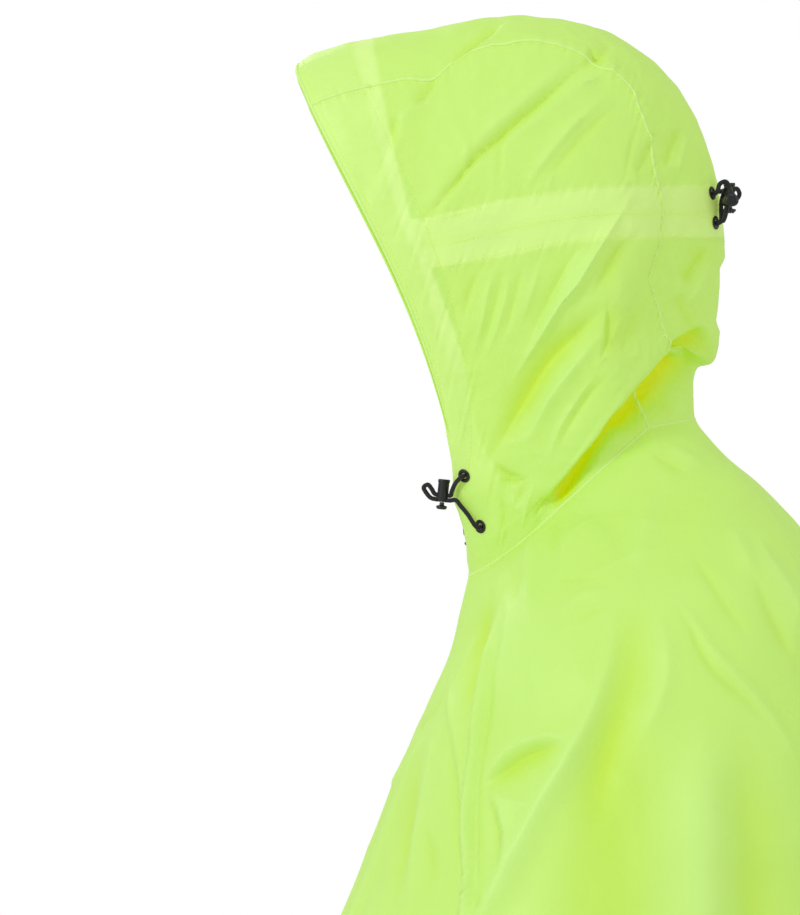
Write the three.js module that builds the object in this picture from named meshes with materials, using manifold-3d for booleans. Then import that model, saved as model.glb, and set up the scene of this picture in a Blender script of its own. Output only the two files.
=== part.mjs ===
// A hooded rain poncho of thin coated cloth, in the shape it takes when it is worn: the hood up,
// the cape over shoulders that lean a little forward, the arms held forward under the cloth.
// Millimetres. +Z is up, -Y is the front, +X is the wearer's left. The origin is the centre of
// the neck seam, where the wearer's shoulders carry the garment.
import * as THREE from 'three';
import { mergeVertices } from 'three/addons/utils/BufferGeometryUtils.js';
import Module from 'manifold-3d';

// A table's rows as objects, from the names of its columns.
const table = (columns, rows) => rows.map((row) => (
  Object.fromEntries(columns.split(' ').map((name, i) => [name, row[i]]))
));

// Driving dimensions.
const WALL = 1.4;                 // cloth wall of every panel
const ARCH_STEPS = 2;             // rows of facets between two hood arches
const SIDE_STEPS = 14;            // columns of facets down a hood side
const CENTRE_STEPS = 8;           // columns of facets across the hood's centre panel
const CASING_WALL = 1.2;          // cloth wall of the two drawcord casings
const CASING_GAP = 0.8;           // gap between a casing and the panels, loose enough for its cord
const GAP = 0.3;                  // gap at a seam and between a panel and what lies on it
const TURNED_SIDES = 12;          // sides of an eyelet and of its hole
const LOCK_SIDES = 16;
const NEARBY = 0.01;              // a small step along a surface's own places

const SEAM_T = 0.3;               // where the centre panel's seam lies along a hood arch, 0 to 1
const CROWN_ROUND = 2.2;          // how flat the crown is before it falls to the seam
const CHEEK_SHARE = 0.36;         // share of an arch in which it reaches its full width
const CHIN_TAPER = 0.38;          // share of the half width that is lost before the chin
const CHIN_ROUND = 7;             // how square an arch turns in to the centre front there
const CHIN_CROWD = 2.2;           // how closely the columns crowd towards the centre front

const FACE_CASING_TOP = 42;       // width of the face casing at the peak
const FACE_CASING_LOW = 27;       // and at the throat
const FACE_CASING_END = 0.9;      // where it ends along the opening edge, 1 is the centre front

const HEAD_CASING_WIDTH = 40;
const HEAD_CASING_TOP_Z = 214;    // height of its middle where it is highest
const HEAD_CASING_TOP_Y = 60;
const HEAD_CASING_DROP = 0.0009;  // fall towards the front, per square millimetre

const EYELET = { flange: 5.3, thick: 0.9, barrel: 3.1, bore: 2.3, depth: 2.6 };
const EYELET_HOLE_DEPTH = 12;
const CORD_RADIUS = 1.7;
const CORD_STEP = 4.6;
const LOCK = {
  radius: 4.1, top: 8.4, bottom: -8.4, tail: 3.2, shoulder: 3, rim: 1, chamfer: 0.6,
  slotWide: 4.2, slotHigh: 7.8,
};
// A lock's button: radii of its stem, flat end and rim, and how far below the barrel each part is.
const BUTTON = {
  stem: 1.7, flat: 2.9, rim: 4.1, underRim: 3.9,
  neckAt: 2.2, underAt: 2.9, rimAt: 3.6, flatAt: 5, endAt: 5.4,
};

// The hood is a fan of arches. Each runs from the crown line (apex, x = 0) over the centre panel's
// seam and down the side to the centre front (base, x = 0). The first is the edge of the face
// opening, the last is the neck seam. bow is how far the side bends towards the nape, bowAt moves
// the deepest point of the bend towards the base.
const HOOD_ARCHES = table('apexY apexZ seamX seamY seamZ sideX baseY baseZ bow bowAt', [
  [-216, 330, 57, -206, 295, 84, -95, 18, 12, 1.3],
  [-176, 343, 61, -167, 307, 88, -98, 12, 10, 1.2],
  [-118, 353, 63, -110, 320, 91, -99, 5, 8, 1.1],
  [-49, 362, 65, -47, 342, 94, -97, -3, 6, 1],
  [11, 353, 66, 8, 326, 96, -95, -10, 6, 1],
  [56, 322, 65, 39, 298, 97, -93, -17, 8, 1],
  [87, 277, 64, 51, 258, 96, -91, -23, 10, 1],
  [101, 222, 63, 56, 212, 94, -90, -29, 12, 1.1],
  [104, 172, 62, 51, 168, 93, -89, -34, 14, 1.2],
  [100, 130, 60, 58, 132, 92, -88.5, -39, 16, 1.6],
  [96, 105, 58, 61, 112, 91, -88, -43, 20, 2],
  [83, 99, 50, 47, 109, 79, -88, -46, 19, 2],
  [81, 81, 51, 38, 79, 77, -87.5, -50, 11, 2],
  [82, 61, 55, 45, 54, 81, -87, -56, 4, 2.2],
]);
// The arches between these two make the fold that hangs over the collar. It dies out forwards,
// from FOLD_FADE[0] to FOLD_FADE[1] of the way down the side.
const FOLD_FIRST = 9;
const FOLD_LAST = 13;
const FOLD_FADE = [0.34, 0.66];

// The cape is a stack of closed sections below the neck seam. Each row gives where a section
// crosses the centre front, the side and the centre back, and its half width. widestY is where it
// is widest and square says how boxy it is, 1 being an ellipse.
const CAPE_SECTIONS = table('frontY frontZ sideZ backY backZ halfX widestY square', [
  [-94, -84, -17, 104, 35, 122, 6, 0.95],
  [-102, -116, -42, 131, 9, 170, 22, 0.92],
  [-119, -155, -74, 163, -22, 214, 36, 0.9],
  [-141, -207, -132, 197, -66, 246, 34, 0.9],
  [-164, -271, -216, 226, -140, 268, 18, 0.9],
  [-192, -350, -316, 246, -244, 290, 0, 0.9],
  [-226, -462, -440, 257, -384, 314, -6, 0.92],
  [-252, -620, -604, 264, -566, 340, -4, 0.94],
  [-270, -800, -788, 271, -770, 362, 0, 0.96],
  [-284, -990, -970, 280, -980, 384, 0, 0.98],
]);

// The cape's largest folds, each a soft ridge (height over 0) or trough (under 0) along a line
// of side-view points [y, z] on one side of the body. width is half the width of its bell shape.
const CAPE_FOLDS = [
  { name: 'chest ridge', side: 1, width: 15, height: 9,
    line: [[-34, -4], [-64, -52], [-80, -135], [-84, -230], [-98, -420], [-104, -700]] },
  { name: 'chest trough', side: 1, width: 11, height: -7,
    line: [[-50, -70], [-66, -140], [-68, -230], [-76, -400]] },
  { name: 'arm ridge', side: 1, width: 20, height: 13,
    line: [[48, -84], [22, -112], [14, -150], [-20, -225], [-58, -275], [-88, -350], [-110, -520]] },
  { name: 'arm trough', side: 1, width: 22, height: -11,
    line: [[40, -92], [30, -150], [4, -225], [-14, -320], [-30, -480], [-34, -800]] },
  { name: 'upper arm ridge', side: 1, width: 34, height: 15,
    line: [[70, -160], [84, -300], [92, -560], [94, -900]] },
  { name: 'front trough', side: 1, width: 10, height: -6,
    line: [[-98, -115], [-103, -166], [-93, -250], [-82, -330]] },
  { name: 'shoulder crease', side: 1, width: 9, height: -5,
    line: [[56, -80], [95, -102], [124, -150], [152, -196]] },
  { name: 'back trough', side: 1, width: 26, height: -12,
    line: [[120, -190], [140, -360], [150, -600], [152, -900]] },
  { name: 'chest ridge, right', side: -1, width: 17, height: 9,
    line: [[-42, -20], [-70, -86], [-86, -190], [-96, -360], [-100, -640]] },
  { name: 'arm ridge, right', side: -1, width: 22, height: 12,
    line: [[42, -90], [14, -140], [-24, -215], [-66, -290], [-96, -420]] },
  { name: 'arm trough, right', side: -1, width: 24, height: -11,
    line: [[36, -104], [18, -190], [-16, -300], [-34, -520], [-40, -820]] },
  { name: 'upper arm ridge, right', side: -1, width: 32, height: 13,
    line: [[66, -180], [78, -330], [84, -600], [82, -880]] },
  { name: 'shoulder crease, right', side: -1, width: 10, height: -5,
    line: [[50, -86], [92, -116], [118, -168]] },
  { name: 'back trough, right', side: -1, width: 28, height: -12,
    line: [[112, -220], [128, -400], [142, -640], [140, -900]] },
];
const FOLD_ENDS = 0.18;           // share of a fold's length over which it fades at each end
const FOLD_CLEAR_X = [20, 70];    // distance from the middle plane over which the folds come in

// Upright flutes that open towards the hem: the direction they stand in (degrees from the centre
// front towards the left), half their width in degrees, their depth at the hem and the share of
// the way down at which they start.
const HEM_FLUTES = table('at half depth from', [
  [8, 9, 20, 0.42],
  [31, 8, -15, 0.5],
  [52, 9, 17, 0.55],
  [79, 8, -14, 0.6],
  [101, 9, 16, 0.55],
  [128, 9, -16, 0.45],
  [150, 8, 20, 0.4],
  [171, 8, -14, 0.45],
  [190, 9, 18, 0.38],
  [214, 9, -17, 0.46],
  [238, 8, 17, 0.52],
  [263, 9, -13, 0.58],
  [288, 9, 17, 0.5],
  [312, 8, -15, 0.5],
  [337, 9, 16, 0.45],
]);

// Eyelets by side-view place on the hood's side, or by half-width and height on its centre panel.
const THROAT_EYELETS = { upper: { y: -91.5, z: 18.5 }, lower: { y: -79.5, z: -19 } };
const NAPE_EYELETS = { x: 26, upperZ: 229, lowerZ: 207 };

// Cord locks. axis is the barrel's direction, away from its button, through the direction in which
// the cord's loop leaves it, slot how far its slot is from its middle, and press how much wider than
// the barrel its button is, both ways.
const LOCKS = [
  {
    set: 'throat_left', centre: [47, -107, 7.5], axis: [0, 0.1, 1],
    through: [-0.3, -1, 0.1], slot: -5, press: [1, 1],
  },
  {
    set: 'throat_right', centre: [-70, -87, -21], axis: [0, -0.1, 1],
    through: [-1, -0.1, 0], slot: 1, press: [1, 1],
  },
  {
    set: 'nape_left', centre: [30, 106, 223], axis: [-1, -0.1, 0],
    through: [0, -0.26, -0.97], slot: 3, press: [1.3, 1.15],
  },
  {
    set: 'nape_right', centre: [-16, 109, 230.5], axis: [0.05, 0, 1],
    through: [0.9, 0.45, 0], slot: 1, press: [1.3, 1.15],
  },
];

// Drawcords: each leaves the upper eyelet, goes through its lock, makes a loop and comes back
// through the lock to the lower eyelet. out and back are way points by hand between eyelet and
// lock; lift is how far the loop's far end stands above the slot.
const CORDS = {
  throat_left: {
    out: [[58.5, -98, 13], [52, -100.8, 6.5]],
    back: [[51, -98, 0.5], [56, -94, -4], [59, -89, -10]],
    lift: 6,
  },
  throat_right: {
    out: [[-64, -94.5, 6], [-66, -91.5, -6], [-63.6, -88.3, -14]],
    back: [[-62.3, -84.8, -21.8]],
    lift: 0,
  },
  nape_left: {
    out: [[26.5, 99.5, 236], [26, 104, 237.5]],
    back: [[21.5, 106, 233.5], [18.8, 103, 230], [18.6, 101, 223], [21, 100.6, 217]],
    lift: 0,
  },
  nape_right: {
    out: [[-27.5, 101, 232], [-25.5, 104.5, 233.3]],
    back: [[-25.5, 104.5, 226.5], [-28, 102.5, 219], [-28.3, 101, 212.5]],
    lift: -1,
  },
};
// The loop's half as places along the cord's direction, its half height and its share of the lift.
const LOOP = table('along half rise', [
  [6, 1.85, 0],
  [9, 3.3, 0.35],
  [12.2, 3.4, 0.8],
]);
const LOOP_END = 15.2;
const LEAD = 2.5;                 // length of cord that stands straight out of an eyelet

const CLOTH = new THREE.MeshStandardMaterial({ color: 0xc6ee5a, roughness: 0.55, side: THREE.DoubleSide });
const HARDWARE = new THREE.MeshStandardMaterial({ color: 0x16171a, roughness: 0.4, metalness: 0.1 });
const ELASTIC = new THREE.MeshStandardMaterial({ color: 0x1b1c1e, roughness: 0.85 });

const part = new THREE.Group();
const kernel = await Module();
kernel.setup();

// Small maths.
const clamp01 = (x) => Math.min(1, Math.max(0, x));
const lerp = (a, b, k) => a + (b - a) * k;
const vec = (x, y, z) => new THREE.Vector3(x, y, z);

function smooth(from, to, x) {
  const k = clamp01((x - from) / (to - from));
  return k * k * (3 - 2 * k);
}

// Catmull-Rom weights for the four rows round a fractional row number.
function rowWeights(count, place) {
  const first = Math.min(count - 2, Math.max(0, Math.floor(place)));
  const k = place - first;
  return {
    rows: [Math.max(0, first - 1), first, first + 1, Math.min(count - 1, first + 2)],
    weights: [
      (-k + 2 * k * k - k ** 3) / 2,
      (2 - 5 * k * k + 3 * k ** 3) / 2,
      (k + 4 * k * k - 3 * k ** 3) / 2,
      (-k * k + k ** 3) / 2,
    ],
  };
}

// Place in (low, high) where a rising or falling function passes zero.
function crossing(low, high, value) {
  const startSign = Math.sign(value(low));
  for (let i = 0; i < 40; i += 1) {
    const middle = (low + high) / 2;
    if (Math.sign(value(middle)) === startSign) low = middle;
    else high = middle;
  }
  return (low + high) / 2;
}

// Unit normal of a surface function by central differences, turned by sign to face outwards.
function surfaceNormal(surface, a, b, sign) {
  const step = 2e-3;
  const alongA = surface(a + step, b).sub(surface(a - step, b));
  const alongB = surface(a, b + step).sub(surface(a, b - step));
  return alongA.cross(alongB).multiplyScalar(sign).normalize();
}

// Hood surface.
function archPoint(arch, t) {
  if (t < SEAM_T) {
    const w = t / SEAM_T;
    const fall = Math.abs(w) ** CROWN_ROUND;
    return vec(arch.seamX * w, lerp(arch.apexY, arch.seamY, fall), lerp(arch.apexZ, arch.seamZ, fall));
  }
  const f = 1 - (1 - Math.min(1, (t - SEAM_T) / (1 - SEAM_T))) ** CHIN_CROWD;
  const dy = arch.baseY - arch.seamY;
  const dz = arch.baseZ - arch.seamZ;
  const bend = (arch.bow * Math.sin(Math.PI * f ** arch.bowAt)) / Math.hypot(dy, dz);
  const widen = smooth(-CHEEK_SHARE, CHEEK_SHARE, f) * 2 - 1;
  const inward = Math.max(0, (f - CHEEK_SHARE) / (1 - CHEEK_SHARE));
  const turnIn = (1 - CHIN_TAPER * inward ** 2) * (1 - inward ** CHIN_ROUND) ** (1 / CHIN_ROUND);
  const x = lerp(arch.seamX, arch.sideX, widen) * turnIn;
  return vec(x, arch.seamY + dy * f - dz * bend, arch.seamZ + dz * f + dy * bend);
}

// u runs from the face opening (0) to the neck seam (1), t from the crown line (0) over the side
// seam (SEAM_T) to the centre front (1); a negative t is the other side.
function hoodPoint(u, t) {
  const side = t < 0 ? -1 : 1;
  const along = Math.min(1, Math.abs(t));
  const last = HOOD_ARCHES.length - 1;
  const { rows, weights } = rowWeights(HOOD_ARCHES.length, u * last);
  const share = (along - SEAM_T) / (1 - SEAM_T);
  const flat = smooth(FOLD_FADE[0], FOLD_FADE[1], share);
  const point = vec(0, 0, 0);
  rows.forEach((row, i) => {
    let at = archPoint(HOOD_ARCHES[row], along);
    if (row > FOLD_FIRST && row < FOLD_LAST && flat > 0) {
      const first = archPoint(HOOD_ARCHES[FOLD_FIRST], along);
      const end = archPoint(HOOD_ARCHES[FOLD_LAST], along);
      const even = first.lerp(end, (row - FOLD_FIRST) / (FOLD_LAST - FOLD_FIRST));
      at = at.lerp(even, flat);
    }
    point.addScaledVector(at, weights[i]);
  });
  point.x *= side;
  return point;
}

const hoodNormal = (u, t) => surfaceNormal(hoodPoint, u, t, -1);

// A point of the hood moved out (or in, below 0) along its normal.
const hoodOffset = (u, t, out) => hoodPoint(u, t).addScaledVector(hoodNormal(u, t), out);

// Side-view height of the head casing's middle.
const headCasingZ = (y) => HEAD_CASING_TOP_Z - HEAD_CASING_DROP * (y - HEAD_CASING_TOP_Y) ** 2;

// The hood's place (u, t) that is seen from the side at y, z, found by a search that narrows.
function hoodPlace(y, z) {
  let best = { u: 0.5, t: 0.65, far: Infinity };
  const spread = 16;
  for (let reach = 0.5, pass = 0; pass < 20; pass += 1, reach *= 0.6) {
    const centre = { ...best };
    for (let i = -spread; i <= spread; i += 1) {
      for (let j = -spread; j <= spread; j += 1) {
        const u = Math.min(0.94, Math.max(0, centre.u + (i * reach) / spread));
        const t = Math.min(0.995, Math.max(SEAM_T, centre.t + (j * reach) / spread));
        const at = hoodPoint(u, t);
        const far = Math.hypot(at.y - y, at.z - z);
        if (far < best.far) best = { u, t, far };
      }
    }
  }
  return best;
}

// Cape surface.
// The neck seam as a closed ring: turn 0 is the centre front, 0.5 the centre back, left first.
function neckRing(turn) {
  const half = turn <= 0.5 ? turn * 2 : (1 - turn) * 2;
  const ring = archPoint(HOOD_ARCHES[FOLD_LAST], 1 - half);
  if (turn > 0.5) ring.x *= -1;
  return ring;
}

function sectionPoint(section, turn) {
  const angle = turn * 2 * Math.PI;
  const forward = Math.cos(angle);
  const sideways = Math.sin(angle);
  const boxed = (value) => Math.sign(value) * Math.abs(value) ** section.square;
  const reachY = forward > 0 ? section.frontY : section.backY;
  const reachZ = forward > 0 ? section.frontZ : section.backZ;
  const share = Math.abs(forward);
  return vec(
    section.halfX * boxed(sideways),
    section.widestY + (reachY - section.widestY) * share ** section.square,
    lerp(section.sideZ, reachZ, share ** 1.4),
  );
}

// down runs from the neck seam (0) to the hem (1).
function capeForm(turn, down) {
  const around = turn - Math.floor(turn);
  const { rows, weights } = rowWeights(CAPE_SECTIONS.length + 1, down * CAPE_SECTIONS.length);
  const point = vec(0, 0, 0);
  rows.forEach((row, i) => {
    const at = row === 0 ? neckRing(around) : sectionPoint(CAPE_SECTIONS[row - 1], around);
    point.addScaledVector(at, weights[i]);
  });
  return point;
}

const capeFormNormal = (turn, down) => surfaceNormal(capeForm, turn, down, -1);

// Nearest place on a side-view line: how far away it is and its share of the line's length.
function nearestOnLine(line, y, z) {
  const lengths = line.slice(1).map((end, i) => Math.hypot(end[0] - line[i][0], end[1] - line[i][1]));
  const whole = lengths.reduce((sum, length) => sum + length, 0);
  let best = { far: Infinity, share: 0 };
  let before = 0;
  lengths.forEach((length, i) => {
    const [startY, startZ] = line[i];
    const dy = (line[i + 1][0] - startY) / length;
    const dz = (line[i + 1][1] - startZ) / length;
    const along = Math.min(length, Math.max(0, (y - startY) * dy + (z - startZ) * dz));
    const far = Math.hypot(y - startY - dy * along, z - startZ - dz * along);
    if (far < best.far) best = { far, share: (before + along) / whole };
    before += length;
  });
  return best;
}

function foldHeight(point) {
  let height = 0;
  for (const fold of CAPE_FOLDS) {
    const beside = smooth(FOLD_CLEAR_X[0], FOLD_CLEAR_X[1], point.x * fold.side);
    if (beside > 0) {
      const { far, share } = nearestOnLine(fold.line, point.y, point.z);
      const ends = smooth(0, FOLD_ENDS, share) * smooth(0, FOLD_ENDS, 1 - share);
      height += fold.height * beside * ends * Math.exp(-((far / fold.width) ** 2));
    }
  }
  return height;
}

function fluteDepth(turn, down) {
  let depth = 0;
  for (const flute of HEM_FLUTES) {
    const apart = ((turn * 360 - flute.at + 540) % 360) - 180;
    depth += flute.depth * smooth(flute.from, 1, down) * Math.exp(-((apart / flute.half) ** 2));
  }
  return depth;
}

function capePoint(turn, down) {
  const around = turn - Math.floor(turn);
  const point = capeForm(around, down);
  const out = foldHeight(point) + fluteDepth(around, down);
  return point.addScaledVector(capeFormNormal(around, down), out);
}

const capeNormal = (turn, down) => surfaceNormal(capePoint, turn, down, -1);

// Making solids.
function geometryFrom(points, triangles) {
  const geometry = new THREE.BufferGeometry();
  const places = points.flatMap((point) => point.toArray());
  geometry.setAttribute('position', new THREE.Float32BufferAttribute(places, 3));
  geometry.setIndex(triangles.flat());
  geometry.computeVertexNormals();
  return geometry;
}

// A wall between an outer and an inner grid of points, [row][column]; closed joins the last
// column to the first.
function wallGeometry(outer, inner, closed) {
  const rows = outer.length;
  const columns = outer[0].length;
  const spans = closed ? columns : columns - 1;
  const points = [...outer.flat(), ...inner.flat()];
  const id = (layer, row, column) => (layer * rows + row) * columns + (column % columns);
  const triangles = [];
  const quad = (a, b, c, d) => triangles.push([a, b, c], [a, c, d]);
  for (let r = 0; r < rows - 1; r += 1) {
    for (let c = 0; c < spans; c += 1) {
      quad(id(0, r, c), id(0, r, c + 1), id(0, r + 1, c + 1), id(0, r + 1, c));
      quad(id(1, r, c), id(1, r + 1, c), id(1, r + 1, c + 1), id(1, r, c + 1));
    }
  }
  for (let c = 0; c < spans; c += 1) {
    quad(id(1, 0, c), id(1, 0, c + 1), id(0, 0, c + 1), id(0, 0, c));
    quad(id(0, rows - 1, c), id(0, rows - 1, c + 1), id(1, rows - 1, c + 1), id(1, rows - 1, c));
  }
  if (!closed) {
    for (let r = 0; r < rows - 1; r += 1) {
      quad(id(0, r, 0), id(0, r + 1, 0), id(1, r + 1, 0), id(1, r, 0));
      quad(id(1, r, spans), id(1, r + 1, spans), id(0, r + 1, spans), id(0, r, spans));
    }
  }
  return geometryFrom(points, triangles);
}

function bareGeometry(geometry) {
  const bare = geometry.clone();
  bare.deleteAttribute('normal');
  bare.deleteAttribute('uv');
  return mergeVertices(bare, 1e-4);
}

function toManifold(geometry) {
  const bare = bareGeometry(geometry);
  const mesh = new kernel.Mesh({
    numProp: 3,
    vertProperties: new Float32Array(bare.attributes.position.array),
    triVerts: new Uint32Array(bare.index.array),
  });
  return new kernel.Manifold(mesh);
}

function fromManifold(solid) {
  const mesh = solid.getMesh();
  const geometry = new THREE.BufferGeometry();
  geometry.setAttribute('position', new THREE.BufferAttribute(new Float32Array(mesh.vertProperties), 3));
  geometry.setIndex(new THREE.BufferAttribute(new Uint32Array(mesh.triVerts), 1));
  geometry.computeVertexNormals();
  return geometry;
}

function cutAway(geometry, cutters) {
  let solid = toManifold(geometry);
  for (const cutter of cutters) solid = solid.subtract(toManifold(cutter));
  return fromManifold(solid);
}

function addMesh(name, geometry, material) {
  const mesh = new THREE.Mesh(geometry, material);
  mesh.name = name;
  part.add(mesh);
  return mesh;
}

// A geometry made along its own z axis, stood at a point with z along a direction.
function standAt(geometry, point, axis, through = null) {
  const frame = new THREE.Matrix4();
  const z = axis.clone().normalize();
  const guide = through ?? (Math.abs(z.z) > 0.9 ? vec(0, 1, 0) : vec(0, 0, 1));
  const x = guide.clone().cross(z).normalize();
  const y = z.clone().cross(x);
  frame.makeBasis(x, y, z).setPosition(point);
  return geometry.clone().applyMatrix4(frame);
}

// A lathe about z from [radius, z] pairs, listed from low to high.
function turned(profile, segments) {
  const outline = profile.map(([radius, z]) => new THREE.Vector2(radius, z));
  const lathe = new THREE.LatheGeometry(outline, segments);
  return lathe.rotateX(Math.PI / 2);
}

// Eyelets.
function eyeletSeats() {
  const seats = [];
  const seatAt = (name, u, t, panel) => {
    seats.push({ name, point: hoodPoint(u, t), out: hoodNormal(u, t), panel });
  };
  for (const [label, side] of [['left', 1], ['right', -1]]) {
    for (const [level, place] of Object.entries(THROAT_EYELETS)) {
      const found = hoodPlace(place.y, place.z);
      seatAt(`throat_${label}_${level}`, found.u, found.t * side, label);
    }
    for (const [level, z] of [['upper', NAPE_EYELETS.upperZ], ['lower', NAPE_EYELETS.lowerZ]]) {
      const t = crossing(0, SEAM_T, (w) => hoodPoint(0.5, w).x - NAPE_EYELETS.x) * side;
      const u = crossing(0.3, 0.65, (k) => hoodPoint(k, t).z - z);
      seatAt(`nape_${label}_${level}`, u, t, 'centre');
    }
  }
  return seats;
}

const EYELETS = eyeletSeats();

function eyeletGeometry(seat) {
  const { flange, thick, barrel, bore, depth } = EYELET;
  const ring = turned([
    [bore, -depth], [barrel, -depth], [barrel, GAP], [flange, GAP], [flange - 0.7, GAP + thick],
    [bore, GAP + thick * 0.7], [bore, -depth],
  ], TURNED_SIDES);
  return standAt(ring, seat.point, seat.out);
}

function eyeletHole(seat) {
  const radius = EYELET.barrel + GAP;
  const cylinder = new THREE.CylinderGeometry(radius, radius, EYELET_HOLE_DEPTH, TURNED_SIDES);
  return standAt(cylinder.rotateX(Math.PI / 2), seat.point, seat.out);
}

// Hood panels and casings.
const HOOD_ROWS = (HOOD_ARCHES.length - 1) * ARCH_STEPS;

// Point of the flat facet that a hood panel has at (u, t), on its outer or its inner layer.
function facetPoint(u, t, depth) {
  const centre = Math.abs(t) < SEAM_T;
  const firstT = centre ? -SEAM_T : Math.sign(t) < 0 ? -1 : SEAM_T;
  const stepT = centre ? (2 * SEAM_T) / CENTRE_STEPS : (1 - SEAM_T) / SIDE_STEPS;
  const row = Math.min(HOOD_ROWS - 1, Math.floor(u * HOOD_ROWS));
  const column = Math.min((centre ? CENTRE_STEPS : SIDE_STEPS) - 1, Math.floor((t - firstT) / stepT));
  const a = u * HOOD_ROWS - row;
  const b = (t - firstT) / stepT - column;
  const corner = (i, j) => hoodOffset((row + i) / HOOD_ROWS, firstT + (column + j) * stepT, -depth);
  const near = corner(0, 0);
  const across = corner(1, 1);
  const third = a > b ? corner(1, 0) : corner(0, 1);
  const small = Math.min(a, b);
  const large = Math.max(a, b);
  near.multiplyScalar(1 - large);
  return near.addScaledVector(across, small).addScaledVector(third, large - small);
}

// Moves a point of a surface off an edge, towards the inside of its own piece.
function drawBack(point, inward, distance) {
  return point.add(inward.sub(point).normalize().multiplyScalar(distance));
}

// The wall of a hood panel between two places across the arches.
function hoodPanel(fromT, toT, columns) {
  const rows = HOOD_ROWS;
  const outer = [];
  const inner = [];
  for (let r = 0; r <= rows; r += 1) {
    const outerRow = [];
    const innerRow = [];
    for (let c = 0; c <= columns; c += 1) {
      const u = r / rows;
      const t = lerp(fromT, toT, c / columns);
      let point = hoodPoint(u, t);
      if (r === rows) point = drawBack(point, hoodPoint(u - NEARBY, t), GAP);
      if (c === 0) point = drawBack(point, hoodPoint(u, t + NEARBY), GAP * 0.7);
      if (c === columns) point = drawBack(point, hoodPoint(u, t - NEARBY), GAP * 0.7);
      outerRow.push(point);
      innerRow.push(point.clone().addScaledVector(hoodNormal(u, t), -WALL));
    }
    outer.push(outerRow);
    inner.push(innerRow);
  }
  return wallGeometry(outer, inner, false);
}

// A side panel is turned at the centre front, where both sides meet: its last column is kept
// on its own side of the middle plane.
function keepOneSide(geometry, side) {
  const position = geometry.attributes.position;
  for (let i = 0; i < position.count; i += 1) {
    if (position.getX(i) * side < GAP / 2) position.setX(i, (side * GAP) / 2);
  }
  return geometry;
}

function holesIn(geometry, panel) {
  return cutAway(geometry, EYELETS.filter((seat) => seat.panel === panel).map(eyeletHole));
}

function makeHood() {
  const left = keepOneSide(hoodPanel(SEAM_T, 1, SIDE_STEPS), 1);
  const right = keepOneSide(hoodPanel(-1, -SEAM_T, SIDE_STEPS), -1);
  addMesh('hood_side_left', holesIn(left, 'left'), CLOTH);
  addMesh('hood_side_right', holesIn(right, 'right'), CLOTH);
  addMesh('hood_centre', holesIn(hoodPanel(-SEAM_T, SEAM_T, CENTRE_STEPS), 'centre'), CLOTH);
}

// Both casings lie inside the hood: their outer face is a gap inside the panels' inner facets.
function casingGeometry(grid) {
  const layer = (inward) => grid.map((row) => row.map(
    ([u, t]) => facetPoint(u, t, WALL).addScaledVector(hoodNormal(u, t), -inward),
  ));
  return wallGeometry(layer(CASING_GAP), layer(CASING_GAP + CASING_WALL), false);
}

function faceCasingWidth(t) {
  return lerp(FACE_CASING_TOP, FACE_CASING_LOW, smooth(SEAM_T, 0.7, Math.abs(t)));
}

// Hood row at a distance behind the face opening.
function rowBehindFace(t, distance) {
  const edge = hoodPoint(0, t);
  return crossing(0, 0.4, (u) => hoodPoint(u, t).distanceTo(edge) - distance);
}

// The columns of the panels' facets as places from 0 to 1 on either side, each a share of endT.
function columnShares() {
  const side = Array.from({ length: SIDE_STEPS + 1 }, (_, c) => lerp(SEAM_T, 1, c / SIDE_STEPS));
  const centre = Array.from({ length: CENTRE_STEPS / 2 }, (_, c) => (c * 2 * SEAM_T) / CENTRE_STEPS);
  const half = [...centre, ...side];
  return [...half.slice(1).reverse().map((t) => -t), ...half];
}

// Those columns that lie inside the ends, and the two ends.
function columnsWithin(endT) {
  const inside = columnShares().filter((t) => Math.abs(t) < endT - NEARBY);
  return [-endT, ...inside, endT];
}

function faceCasingGrid() {
  return [0.03, 0.5, 1].map((share) => columnsWithin(FACE_CASING_END).map(
    (t) => [rowBehindFace(t, share * faceCasingWidth(t)), t],
  ));
}

// The head casing starts just behind the face casing, so each of its rows ends at its own t.
function headCasingGrid() {
  const clear = 3;
  const rise = (u, t, lift) => {
    const at = hoodPoint(u, t);
    return at.z - headCasingZ(at.y) - lift;
  };
  const shares = [0.5, 0.25, 0, -0.25, -0.5];
  const ends = shares.map((share) => crossing(SEAM_T, 0.9, (t) => {
    const u = rowBehindFace(t, faceCasingWidth(t) + clear);
    return rise(u, t, share * HEAD_CASING_WIDTH);
  }));
  const shortest = columnsWithin(Math.min(...ends)).slice(1, -1);
  return shares.map((share, i) => [-ends[i], ...shortest, ends[i]].map(
    (t) => [crossing(0, 0.8, (u) => rise(u, t, share * HEAD_CASING_WIDTH)), t],
  ));
}

function makeCasings() {
  const face = casingGeometry(faceCasingGrid());
  const head = casingGeometry(headCasingGrid());
  const holes = (wanted) => EYELETS.filter((seat) => wanted(seat.panel)).map(eyeletHole);
  addMesh('face_casing', cutAway(face, holes((panel) => panel !== 'centre')), CLOTH);
  addMesh('head_casing', cutAway(head, holes((panel) => panel === 'centre')), CLOTH);
}

// Cape.
const CAPE_COLUMNS = 72;
const CAPE_ROW_STEPS = [2, 2, 2, 2, 2, 2, 1, 2, 2, 1];

function makeCape() {
  const downs = [0];
  CAPE_ROW_STEPS.forEach((steps, section) => {
    for (let i = 1; i <= steps; i += 1) downs.push((section + i / steps) / CAPE_SECTIONS.length);
  });
  const outer = [];
  const inner = [];
  for (const down of downs) {
    const turns = Array.from({ length: CAPE_COLUMNS }, (_, c) => 1 - c / CAPE_COLUMNS);
    outer.push(turns.map((turn) => capePoint(turn, down)));
    inner.push(turns.map((turn) => capePoint(turn, down).addScaledVector(capeNormal(turn, down), -WALL)));
  }
  addMesh('cape', wallGeometry(outer, inner, true), CLOTH);
}

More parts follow.
